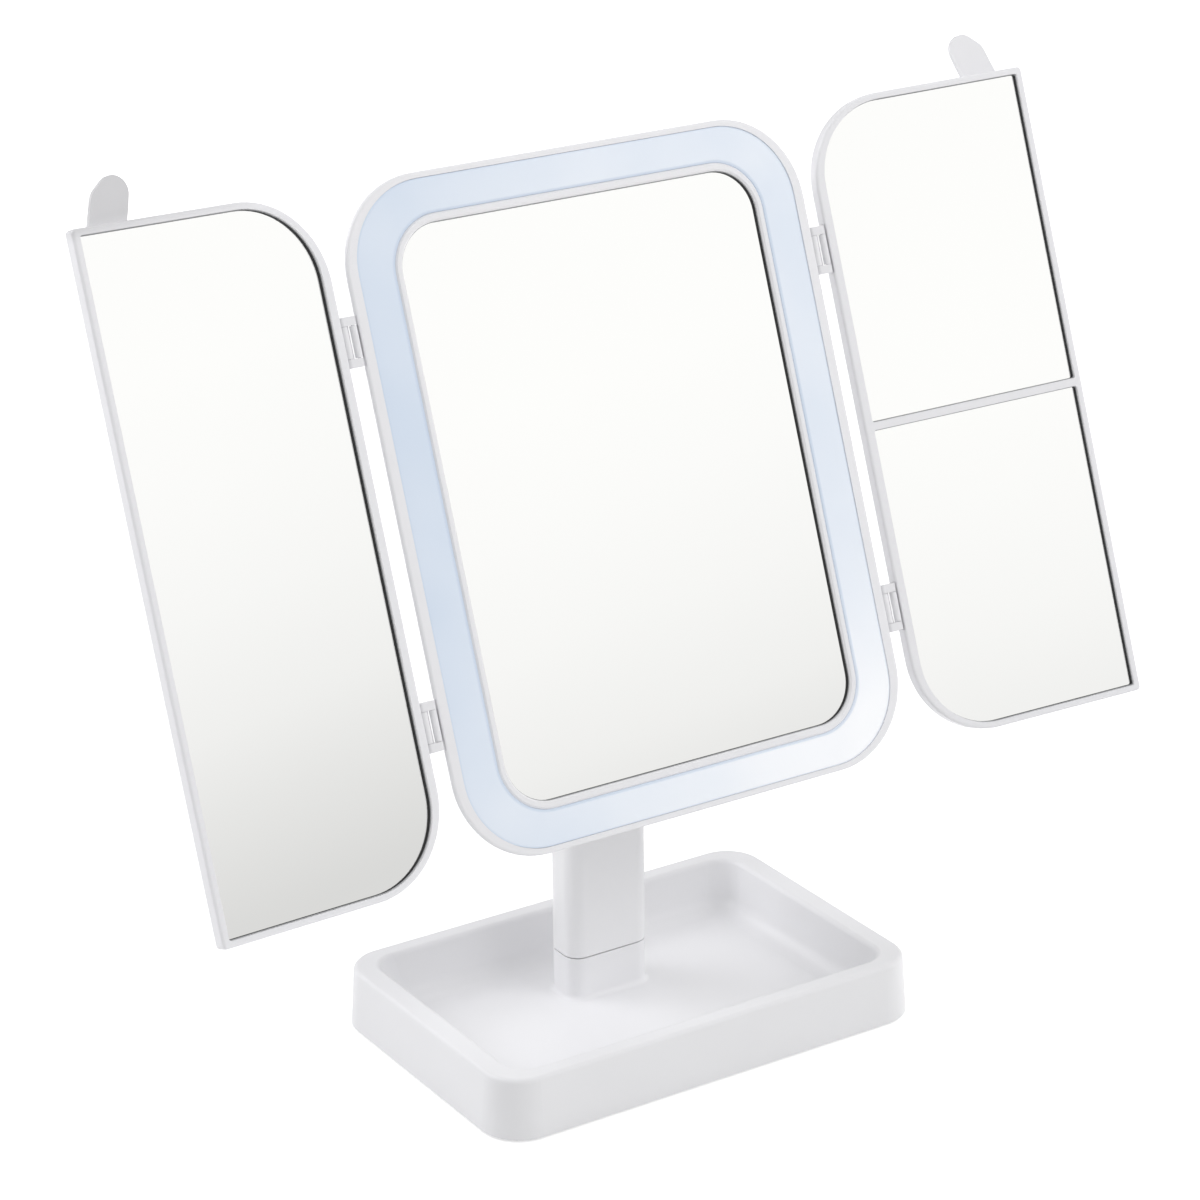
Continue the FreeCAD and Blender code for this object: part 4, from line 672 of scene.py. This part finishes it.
class RowsOfParts(GeometryTree):
    """A grid of copies of one part: screws or feet."""

    def __init__(self) -> None:
        """Builds the tree: a grid of points, copies on them, turned and moved as a whole."""
        super().__init__("rows_of_parts")
        across, along = self.size("Across"), self.size("Along")
        columns = self.size("Columns", "NodeSocketInt")
        rows = self.size("Rows", "NodeSocketInt")
        part = self.size("Part", "NodeSocketObject")
        spin = self.size("Most spin")
        seed = self.size("Seed", "NodeSocketInt")
        turn = self.size("Turn", "NodeSocketRotation")
        shift = self.size("Shift", "NodeSocketVector")
        material = self.size("Material", "NodeSocketMaterial")
        grid = self.add("GeometryNodeMeshGrid", None,
                        {"Size X": across, "Size Y": along, "Vertices X": columns,
                         "Vertices Y": rows})["Mesh"]
        points = self.add("GeometryNodeMeshToPoints", None, {"Mesh": grid})["Points"]
        shape = self.add("GeometryNodeObjectInfo", None, {"Object": part})["Geometry"]
        angle = self.add("FunctionNodeRandomValue", {"data_type": "FLOAT"},
                         {"Min": 0.0, "Max": spin, "Seed": seed})["Value"]
        euler = self.add("ShaderNodeCombineXYZ", None, {"Z": angle})["Vector"]
        copies = self.add("GeometryNodeInstanceOnPoints", None,
                          {"Points": points, "Instance": shape, "Rotation": euler})["Instances"]
        placed = self.add("GeometryNodeTransform", None,
                          {"Geometry": copies, "Translation": shift, "Rotation": turn})["Geometry"]
        self.close(placed, material)

    def stand_for(self, node: str, body: str, part: bpy.types.Object, spread: tuple[float, float],
                  count: tuple[int, int], turn: Point, shift: Point,
                  material: bpy.types.Material, seed: int = 1) -> None:
        """Sets copies of a part where a construction node has its own plainer ones.

        Args:
            node: The construction node.
            body: The body that it moves with.
            part: One copy, which is removed afterwards.
            spread: Width and length of the grid.
            count: Columns and rows.
            turn: Euler angles of the whole grid.
            shift: Where the grid's middle goes.
            material: The copies' finish.
            seed: Fixes how far each copy is turned about its own axis.
        """
        piece = self.run(node + "_made", {
            "Across": spread[0], "Along": spread[1], "Columns": count[0], "Rows": count[1],
            "Part": part, "Most spin": math.tau / 4, "Seed": seed, "Turn": turn, "Shift": shift,
            "Material": material})
        bpy.data.objects.remove(part)
        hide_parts(node)
        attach(piece, body)
        log.info("%-26s %d faces", piece.name, len(piece.data.polygons))


SEAM_GAP = 0.004 * MM    # points nearer than this are one point


class BandBetweenOutlines(GeometryTree):
    """A flat ring between two rounded rectangles, with a softly rounded section all the way."""

    def __init__(self, corner_points: int = 14, section_points: int = 29) -> None:
        """Builds the tree.

        Args:
            corner_points: Points round each corner.
            section_points: Points round the section, the first and last at one place.
        """
        super().__init__("band_between_outlines")
        outlines = []
        for which in ("Outer", "Inner"):
            width, height = self.size(which + " width"), self.size(which + " height")
            radius = self.size(which + " corner")
            rectangle = self.add("GeometryNodeCurvePrimitiveQuadrilateral", {"mode": "RECTANGLE"},
                                 {"Width": width, "Height": height})["Curve"]
            rounded = self.add("GeometryNodeFilletCurve", {"mode": "POLY"},
                               {"Curve": rectangle, "Radius": radius,
                                "Count": corner_points})["Curve"]
            outlines.append(rounded)
        thick, square = self.size("Thickness"), self.size("Squareness")
        lamp_pitch = self.size("Lamp pitch")
        turn = self.size("Turn", "NodeSocketRotation")
        shift = self.size("Shift", "NodeSocketVector")
        material = self.size("Material", "NodeSocketMaterial")

        counted = self.add("GeometryNodeAttributeDomainSize", {"component": "CURVE"},
                           {"Geometry": outlines[0]})["Point Count"]
        sheet = self.add("GeometryNodeMeshGrid", None,
                         {"Size X": 1.0, "Size Y": 1.0, "Vertices X": counted + 1,
                          "Vertices Y": section_points})["Mesh"]
        index = self.add("GeometryNodeInputIndex")["Index"]
        station = self.math("FLOOR", (index + 0.5) / section_points) % counted
        ring = (index % section_points) / (section_points - 1)
        ends = []
        for curve in outlines:
            place = self.add("GeometryNodeInputPosition")["Position"]
            ends.append(self.add("GeometryNodeSampleIndex",
                                 {"data_type": "FLOAT_VECTOR", "domain": "POINT"},
                                 {"Geometry": curve, "Value": place, "Index": station})["Value"])
        angle = ring * math.tau
        across = self._squared(self.math("COSINE", angle), square) * 0.5 + 0.5
        up = self._squared(self.math("SINE", angle), square) * 0.5 - 0.5
        span = self.vector("SUBTRACT", ends[0], ends[1])["Vector"]
        reach = self.add("ShaderNodeVectorMath", {"operation": "SCALE"},
                         {0: span, "Scale": across})["Vector"]
        flat = self.vector("ADD", ends[1], reach)["Vector"]
        rise = self.add("ShaderNodeCombineXYZ", None, {"Z": up * thick})["Vector"]
        placed = self.add("GeometryNodeSetPosition", None,
                          {"Geometry": sheet,
                           "Position": self.vector("ADD", flat, rise)["Vector"]})["Geometry"]
        parted = self.add("ShaderNodeSeparateXYZ", None, {"Vector": flat})
        spot = self._lamp(parted["X"], parted["Y"], lamp_pitch)
        marked = self.add("GeometryNodeStoreNamedAttribute",
                          {"data_type": "FLOAT", "domain": "POINT"},
                          {"Geometry": placed, "Name": LAMP_SPOTS, "Value": spot})["Geometry"]
        ruled = self.add("GeometryNodeStoreNamedAttribute",
                         {"data_type": "FLOAT", "domain": "POINT"},
                         {"Geometry": marked, "Name": BAND_ACROSS, "Value": across})["Geometry"]
        merged = self.add("GeometryNodeMergeByDistance", None,
                          {"Geometry": ruled, "Distance": SEAM_GAP})["Geometry"]
        smooth = self.add("GeometryNodeSetShadeSmooth", None,
                          {"Geometry": merged, "Shade Smooth": True})["Geometry"]
        moved = self.add("GeometryNodeTransform", None,
                         {"Geometry": smooth, "Translation": shift, "Rotation": turn})["Geometry"]
        self.close(moved, material)

    def _squared(self, wave: Wire, square: Wire) -> Wire:
        """A sine or cosine pushed out towards a square's side, its sign kept."""
        return self.math("SIGN", wave) * (abs(wave) ** square)

    def _lamp(self, x: Wire, y: Wire, pitch: Wire) -> Wire:
        """How near a point is to the lamps, which stand at one pitch from each side's middle."""
        nearest = []
        for value in (x, y):
            away = abs((value / pitch + 0.5) % 1.0 - 0.5)
            nearest.append(1 - away * 2)
        return nearest[0] * nearest[1]


# ---------------------------------------------------------------------------------------------
# Meshes turned on a lathe, and drive recesses
# ---------------------------------------------------------------------------------------------

ON_AXIS = 1e-9    # a smaller radius is a point on the axis
Shaping = Callable[[int, float], float]


def turned(name: str, profile: Sequence[tuple[float, float]], steps: int,
           shaping: Optional[Shaping] = None) -> bpy.types.Object:
    """A solid of revolution about Z, whose rings may be drawn in here and there.

    Args:
        name: The object's name.
        profile: Radius and height pairs from the lowest centre to the highest centre.
        steps: Facets round the axis.
        shaping: Gives the share of the radius kept, from a ring's number and an angle.

    Returns:
        The object, not yet linked to a body.
    """
    mesh = bmesh.new()
    rings = []
    for index, (radius, height) in enumerate(profile):
        if radius < ON_AXIS:
            rings.append([mesh.verts.new((0, 0, height))])
            continue
        ring = []
        for k in range(steps):
            angle = math.tau * k / steps
            reach = radius * shaping(index, angle) if shaping else radius
            ring.append(mesh.verts.new((reach * math.cos(angle), reach * math.sin(angle), height)))
        rings.append(ring)
    for low, high in zip(rings, rings[1:]):
        for k in range(steps):
            after = (k + 1) % steps
            if len(low) == 1:
                mesh.faces.new((low[0], high[after], high[k]))
            elif len(high) == 1:
                mesh.faces.new((low[k], low[after], high[0]))
            else:
                mesh.faces.new((low[k], low[after], high[after], high[k]))
    bmesh.ops.recalc_face_normals(mesh, faces=mesh.faces)
    return _object(name, mesh)


def _object(name: str, mesh: bmesh.types.BMesh, sharp: float = 35.0) -> bpy.types.Object:
    """A smooth-shaded object from a bmesh, with its sharper edges kept."""
    for edge in mesh.edges:
        edge.smooth = not (edge.is_manifold and edge.calc_face_angle(0.0) > math.radians(sharp))
    for face in mesh.faces:
        face.smooth = True
    data = bpy.data.meshes.new(name)
    mesh.to_mesh(data)
    mesh.free()
    piece = bpy.data.objects.new(name, data)
    bpy.context.scene.collection.objects.link(piece)
    return piece


@dataclass(frozen=True)
class CrossHeadScrew:
    """A screw with a cross recess, its head up.

    A raised head bears on the piece at height 0, and a countersunk one is widest there.
    """

    shank: float
    length: float
    head: float
    head_height: float
    countersunk: bool = False
    recess: float = 0.55
    recess_depth: float = 0.55
    arm_waist: float = 0.42
    thread_pitch: float = 0.9 * MM
    facets: int = 24

    def make(self, name: str) -> bpy.types.Object:
        """The screw as a mesh to be copied.

        Args:
            name: The prototype's name.

        Returns:
            The object.
        """
        profile = self.thread() + self.head_side() + self.well()
        cross_from = len(profile) - len(self.well()) + 1

        def crossed(index: int, angle: float) -> float:
            """Four arms in the recess, the whole radius elsewhere."""
            if index < cross_from:
                return 1.0
            return self.arm_waist + (1 - self.arm_waist) * abs(math.cos(2 * angle)) ** 3

        return turned(name, profile, self.facets, crossed)

    def thread(self) -> list[tuple[float, float]]:
        """Radius and height pairs from the tip to the last turn below the head."""
        tip, core, crest = self.shank * 0.35, self.shank * 0.86, self.shank * 0.995
        profile = [(0.0, -self.length), (tip, -self.length)]
        start = -self.length + self.shank * 0.9
        turns = max(2, int((self.length - self.shank) / self.thread_pitch))
        for k in range(turns):
            z = start + k * self.thread_pitch
            if z + self.thread_pitch > -self.thread_pitch:
                break
            profile += [(core, z), (crest, z + self.thread_pitch * 0.5)]
        return profile

    def head_side(self) -> list[tuple[float, float]]:
        """Radius and height pairs up the head's outside."""
        neck, top = self.shank * 0.95, self.head_height
        if self.countersunk:
            return [(neck, self.shank - self.head), (self.head, 0.0),
                    (self.head * 0.985, top * 0.5), (self.head * 0.9, top)]
        rim = top * 0.22
        return [(neck, 0.0), (self.head, 0.0), (self.head, rim * 1.8),
                (self.head * 0.93, top - rim), (self.head * 0.78, top - rim * 0.35)]

    def well(self) -> list[tuple[float, float]]:
        """Radius and height pairs from the flat round the recess down to its middle."""
        width, deep, top = self.head * self.recess, self.head * self.recess_depth, self.head_height
        return [(width * 1.05, top), (width, top), (width * 0.42, top - deep),
                (0.0, top - deep * 1.15)]


# ---------------------------------------------------------------------------------------------
# Sub-assemblies
# ---------------------------------------------------------------------------------------------

UNMOVED: Point = (0.0, 0.0, 0.0)


@dataclass
class Base:
    """The tray base with its underside."""

    shop: Workshop
    rows: RowsOfParts
    foot_radius: float = 5.5 * MM
    foot_height: float = 1.6 * MM
    foot_facets: int = 40
    feet: tuple[float, float] = (148.0 * MM, 87.0 * MM)
    screws: tuple[float, float] = (164.6 * MM, 103.6 * MM)
    cover_face: float = 1.0 * MM
    screw: CrossHeadScrew = CrossHeadScrew(shank=1.2 * MM, length=8.15 * MM, head=2.2 * MM,
                                           head_height=0.05 * MM, countersunk=True)

    def build(self) -> None:
        """Dresses the tray and makes its feet and cover screws."""
        self.shop.dress("base_tray", FinishName.BASE)
        self.shop.dress("base_bottom_cover", FinishName.BASE)
        self.shop.dress("base_ballast_plate", FinishName.BALLAST)
        self.shop.dress("post_screws", FinishName.STEEL)
        self.shop.dress("rubber_feet", FinishName.RUBBER)
        self.shop.dress("base_cover_screws", FinishName.STEEL)
        self.rows.stand_for("rubber_feet", "stand", self.foot(), self.feet, (2, 2), turn=UNMOVED,
                            shift=UNMOVED, material=self.shop.material(FinishName.RUBBER))
        self.rows.stand_for("base_cover_screws", "stand", self.screw.make("cover_screw"),
                            self.screws, (2, 2), turn=(math.pi, 0.0, 0.0),
                            shift=(0.0, 0.0, self.cover_face + self.screw.head_height),
                            material=self.shop.material(FinishName.STEEL), seed=3)

    def foot(self) -> bpy.types.Object:
        """One foot, with a raised ring that it stands on."""
        r, h = self.foot_radius, self.foot_height
        hollow = [(0.0, 0.12 * h), (0.5 * r, 0.12 * h)]
        ring = [(0.58 * r, 0.0), (0.86 * r, 0.0), (0.95 * r, 0.06 * h)]
        side = [(r, 0.25 * h), (r, h), (0.0, h)]
        return turned("foot", hollow + ring + side, self.foot_facets)


@dataclass
class Post:
    """The straight post and the tilt joint's parts at its top."""

    shop: Workshop

    def build(self) -> None:
        """Dresses the post, its cover and the tilt joint."""
        for node in ("neck_post", "neck_rear_cover"):
            self.shop.dress(node, FinishName.POST)
        self.shop.dress("tilt_pin", FinishName.STEEL)
        self.shop.dress("tilt_nut", FinishName.STEEL)
        self.shop.dress("tilt_washers", FinishName.WASHER)
        self.shop.dress("tilt_caps", FinishName.FRAME)


TO_THE_FRONT = -0.5    # Y of a unit normal, below which a face looks to the front


def face_normal(node: str) -> Point:
    """The direction that a flat plate's mirrored face looks, weighed by area over its front."""
    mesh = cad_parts[node].data
    total = Vector((0.0, 0.0, 0.0))
    for face in mesh.polygons:
        if face.normal.y < TO_THE_FRONT:
            total += face.normal * face.area
    return tuple(total.normalized())


@dataclass
class CentrePanel:
    """The lighted centre panel."""

    shop: Workshop
    rows: RowsOfParts
    band: BandBetweenOutlines
    tilt: float = math.radians(-20.45)
    pivot: Point = (0.0, 20.2 * MM, 203.5 * MM)
    front: float = -28.2 * MM
    diffuser_sink: float = 0.3 * MM
    diffuser_thick: float = 2.0 * MM
    diffuser_fit: float = 0.1 * MM
    outer: tuple[float, float, float] = (179.8 * MM, 233.2 * MM, 29.0 * MM)
    inner: tuple[float, float, float] = (151.2 * MM, 208.1 * MM, 19.0 * MM)
    squareness: float = 0.16
    lamp_pitch: float = 25.6 * MM
    case_screw_places: tuple[float, float] = (124.0 * MM, 176.0 * MM)
    case_screw_count: tuple[int, int] = (2, 3)
    case_screw_seat: float = -18.6 * MM
    case_screw: CrossHeadScrew = CrossHeadScrew(shank=1.4 * MM, length=3.7 * MM, head=2.7 * MM,
                                                head_height=1.7 * MM)

    def to_place(self, depth: float) -> tuple[Point, Vector]:
        """Turn and shift that bring a part made flat, face up, to a depth behind the front.

        Args:
            depth: Metres behind the panel's front face.

        Returns:
            Euler angles and a translation.
        """
        turn = Matrix.Rotation(self.tilt, 4, "X") @ Matrix.Rotation(math.radians(90), 4, "X")
        local = Matrix.Rotation(self.tilt, 4, "X") @ Vector((0.0, self.front + depth, 0.0))
        return tuple(turn.to_euler()), Vector(self.pivot) + local

    def build(self) -> None:
        """Dresses the panel and makes the lit diffuser."""
        for node in ("head_front_frame", "mirror_panel", "head_rear_shell", "power_button"):
            self.shop.dress(node, FinishName.FRAME)
        self.shop.dress("center_mirror", SilveredGlass("centre_silver",
                                                       face_normal("center_mirror")).make())
        self.shop.dress("center_mirror_tape",
                        FoamTape("centre_foam_tape", face_normal("center_mirror")).make())
        self.shop.dress("light_diffuser", FinishName.LIT)
        self.diffuser()
        self.electronics()
        self.screws()

    def diffuser(self) -> None:
        """The diffuser ring, its edges softly rounded."""
        turn, shift = self.to_place(self.diffuser_sink)
        fit = self.diffuser_fit
        piece = self.band.run("lit_diffuser_ring", {
            "Outer width": self.outer[0] - 2 * fit, "Outer height": self.outer[1] - 2 * fit,
            "Outer corner": self.outer[2] - fit,
            "Inner width": self.inner[0] + 2 * fit, "Inner height": self.inner[1] + 2 * fit,
            "Inner corner": self.inner[2] + fit,
            "Thickness": self.diffuser_thick, "Squareness": self.squareness,
            "Lamp pitch": self.lamp_pitch, "Turn": turn, "Shift": tuple(shift),
            "Material": self.shop.material(FinishName.LIT)})
        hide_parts("light_diffuser")
        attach(piece, "center_panel")
        log.info("%-26s %d faces", piece.name, len(piece.data.polygons))

    def screws(self) -> None:
        """The case screws, their heads to the back."""
        self.shop.dress("case_screws", FinishName.STEEL)
        lean = Matrix.Rotation(self.tilt, 4, "X")
        turn = tuple((lean @ Matrix.Rotation(math.radians(-90), 4, "X")).to_euler())
        seat = Vector(self.pivot) + lean @ Vector((0.0, self.case_screw_seat, 0.0))
        self.rows.stand_for("case_screws", "center_panel", self.case_screw.make("case_screw"),
                            self.case_screw_places, self.case_screw_count, turn, tuple(seat),
                            self.shop.material(FinishName.STEEL), seed=7)

    def electronics(self) -> None:
        """Dresses what is inside the panel."""
        self.shop.dress("led_board", FinishName.STRIP)
        self.shop.dress("leds", FinishName.PHOSPHOR)
        self.shop.dress("main_board", FinishName.BOARD)
        self.shop.dress("main_board_screws", FinishName.STEEL)
        self.shop.dress("charging_socket", FinishName.STEEL)
        self.shop.dress("push_switch", FinishName.DARK)
        self.shop.dress("switch_plunger", FinishName.DARK)
        self.shop.dress("battery_pack", FinishName.WRAP)


@dataclass
class SidePanels:
    """The two side panels on their hinge links."""

    shop: Workshop

    def build(self) -> None:
        """Dresses trays, mirrors, tapes, links and pins."""
        self.shop.dress("left_wing_tray", FinishName.TOP_SHADED_WING)
        self.shop.dress("right_wing_tray", FinishName.WING)
        for mirror in ("left_wing_mirror", "right_wing_mirror_upper", "right_wing_mirror_lower"):
            normal = face_normal(mirror)
            tape = mirror.replace("mirror", "tape")
            self.shop.dress(mirror, SilveredGlass(mirror + "_silver", normal).make())
            self.shop.dress(tape, FoamTape(tape + "_foam", normal).make())
        for side in ("left", "right"):
            self.shop.dress(side + "_link_upper", FinishName.LINK)
            self.shop.dress(side + "_link_lower", FinishName.LINK)
            self.shop.dress(side + "_link_pins", FinishName.STEEL)


# ---------------------------------------------------------------------------------------------
# Studio
# ---------------------------------------------------------------------------------------------

@dataclass
class Lamp:
    """One square softbox, which mirrors may be kept from showing."""

    name: str
    place: Point
    power: float
    colour: Colour = WHITE
    mirrored: bool = True
    size: float = 1.6
    aim: Point = (0.0, 0.0, 0.15)

    def make(self) -> None:
        """Adds the area light, aimed at its point."""
        light = bpy.data.lights.new(self.name, "AREA")
        light.shape = "SQUARE"
        light.size = self.size
        light.energy = self.power
        light.color = self.colour
        lamp = bpy.data.objects.new(self.name, light)
        bpy.context.scene.collection.objects.link(lamp)
        lamp.location = self.place
        towards = Vector(self.aim) - Vector(self.place)
        lamp.rotation_euler = towards.to_track_quat("-Z", "Y").to_euler()
        lamp.visible_glossy = self.mirrored


def background_rays(graph: Graph) -> tuple[Wire, Wire]:
    """Masks of the rays that show the background.

    Args:
        graph: The graph of the floor or the world.

    Returns:
        1 for rays that come by way of a mirror or glass, and 1 for those and the camera's own.
    """
    rays = graph.add("ShaderNodeLightPath")
    reflected = graph.math("MAXIMUM", rays["Is Glossy Ray"], rays["Is Transmission Ray"])
    return reflected, graph.math("MAXIMUM", rays["Is Camera Ray"], reflected)


@dataclass
class Studio:
    """A white floor, a white world and soft lamps.

    The floor glows a little where it is seen directly, and fades to pure white between the two
    distances of floor_fade. mirrored_sky gives the world's grey in mirrors, by the height (Z) of
    the direction in which a mirror looks.
    """

    floor_size: float = 14.0
    floor_grey: float = 0.82
    floor_glow: float = 0.55
    floor_fade: tuple[float, float] = (0.7, 2.0)
    world_level: float = 0.475
    mirrored_sky: tuple[tuple[float, float], ...] = (
        (0.0, 0.66), (0.15, 0.71), (0.18, 0.81), (0.2, 0.885), (0.23, 0.945), (0.26, 0.98),
        (0.29, 1.0))
    lamps: tuple[Lamp, ...] = (
        Lamp("front_softbox", (1.3, -1.9, 1.9), 29.0, mirrored=False),
        Lamp("left_softbox", (-1.6, 0.9, 1.8), 17.0, (0.98, 0.98, 1.0)),
        Lamp("right_softbox", (2.2, -0.3, 0.8), 9.0, mirrored=False),
        Lamp("back_softbox", (-1.3, 1.6, 1.2), 10.4, (0.98, 0.98, 1.0)),
    )

    def build(self) -> None:
        """Makes the floor, the world and the lamps."""
        self.floor()
        self.world()
        for lamp in self.lamps:
            lamp.make()

    def floor(self) -> None:
        """A large plain floor that keeps the object's shadow and fades to white far from it."""
        mesh = bmesh.new()
        bmesh.ops.create_grid(mesh, x_segments=1, y_segments=1, size=self.floor_size / 2)
        piece = _object("studio_floor", mesh)
        material = bpy.data.materials.new("studio_floor_white")
        material.use_nodes = True
        graph = Graph(material.node_tree)
        diffuse = graph.add("ShaderNodeBsdfDiffuse", None, {"Color": _rgba((self.floor_grey,) * 3)})
        place = graph.add("ShaderNodeTexCoord")["Object"]
        away = graph.vector("LENGTH", place)["Value"].step(*self.floor_fade)
        lift = graph.add("ShaderNodeEmission", None,
                         {"Color": _rgba(WHITE),
                          "Strength": self.floor_glow + away * (1 - self.floor_glow)})
        seen = graph.add("ShaderNodeAddShader", None, {0: diffuse["BSDF"], 1: lift["Emission"]})
        direct = background_rays(graph)[1]
        shader = graph.add("ShaderNodeMixShader", None,
                           {0: direct, 1: diffuse["BSDF"], 2: seen["Shader"]})
        graph.add("ShaderNodeOutputMaterial", None, {"Surface": shader["Shader"]})
        piece.data.materials.append(material)

    def world(self) -> None:
        """A white world, seen pure white by the camera and softly graded in mirrors."""
        world = bpy.data.worlds.new("white_world")
        bpy.context.scene.world = world
        world.use_nodes = True
        graph = Graph(world.node_tree)
        where = graph.add("ShaderNodeTexCoord")["Generated"]
        height = graph.add("ShaderNodeSeparateXYZ", None, {"Vector": where})["Z"]
        stops = tuple((place, (level,) * 3) for place, level in self.mirrored_sky)
        graded = graph.add("ShaderNodeValToRGB", {"stops": stops}, {"Fac": height})["Color"]
        reflected, direct = background_rays(graph)
        colour = graph.mix(reflected, WHITE, graded)
        strength = self.world_level + direct * (1 - self.world_level)
        light = graph.add("ShaderNodeBackground", None, {"Color": colour, "Strength": strength})
        graph.add("ShaderNodeOutputWorld", None, {"Surface": light["Background"]})


@dataclass
class StudioCamera:
    """The camera, by its direction, distance and lens."""

    azimuth: float = -32.549
    elevation: float = 21.534
    roll: float = -0.641
    distance: float = 1.24644
    target: Point = (-0.044330, -0.052494, 0.193228)
    lens: float = 111.24
    sensor: float = 36.0
    clip: tuple[float, float] = (0.05, 60.0)

    def build(self) -> None:
        """Makes the camera and gives it to the scene."""
        around, up_by, roll = (math.radians(angle)
                               for angle in (self.azimuth, self.elevation, self.roll))
        back = Vector((math.sin(around) * math.cos(up_by), -math.cos(around) * math.cos(up_by),
                       math.sin(up_by)))
        level = Vector((math.cos(around), math.sin(around), 0.0))
        up = back.cross(level)
        right = level * math.cos(roll) + up * math.sin(roll)
        over = up * math.cos(roll) - level * math.sin(roll)
        data = bpy.data.cameras.new("studio_camera")
        data.sensor_width = self.sensor
        data.lens = self.lens
        data.clip_start, data.clip_end = self.clip
        camera = bpy.data.objects.new("studio_camera", data)
        bpy.context.scene.collection.objects.link(camera)
        turn = Matrix((right, over, back)).transposed().to_4x4()
        camera.matrix_world = Matrix.Translation(Vector(self.target) + back * self.distance) @ turn
        bpy.context.scene.camera = camera


# ---------------------------------------------------------------------------------------------
# The whole scene
# ---------------------------------------------------------------------------------------------

def main() -> None:
    """Builds the camera, the studio and every sub-assembly."""
    logging.basicConfig(level=logging.INFO, format="%(message)s")
    bpy.context.scene.view_settings.view_transform = "Standard"
    StudioCamera().build()
    Studio().build()
    shop, rows, band = Workshop(), RowsOfParts(), BandBetweenOutlines()
    Base(shop, rows).build()
    Post(shop).build()
    CentrePanel(shop, rows, band).build()
    SidePanels(shop).build()


if __name__ == "__main__":
    main()
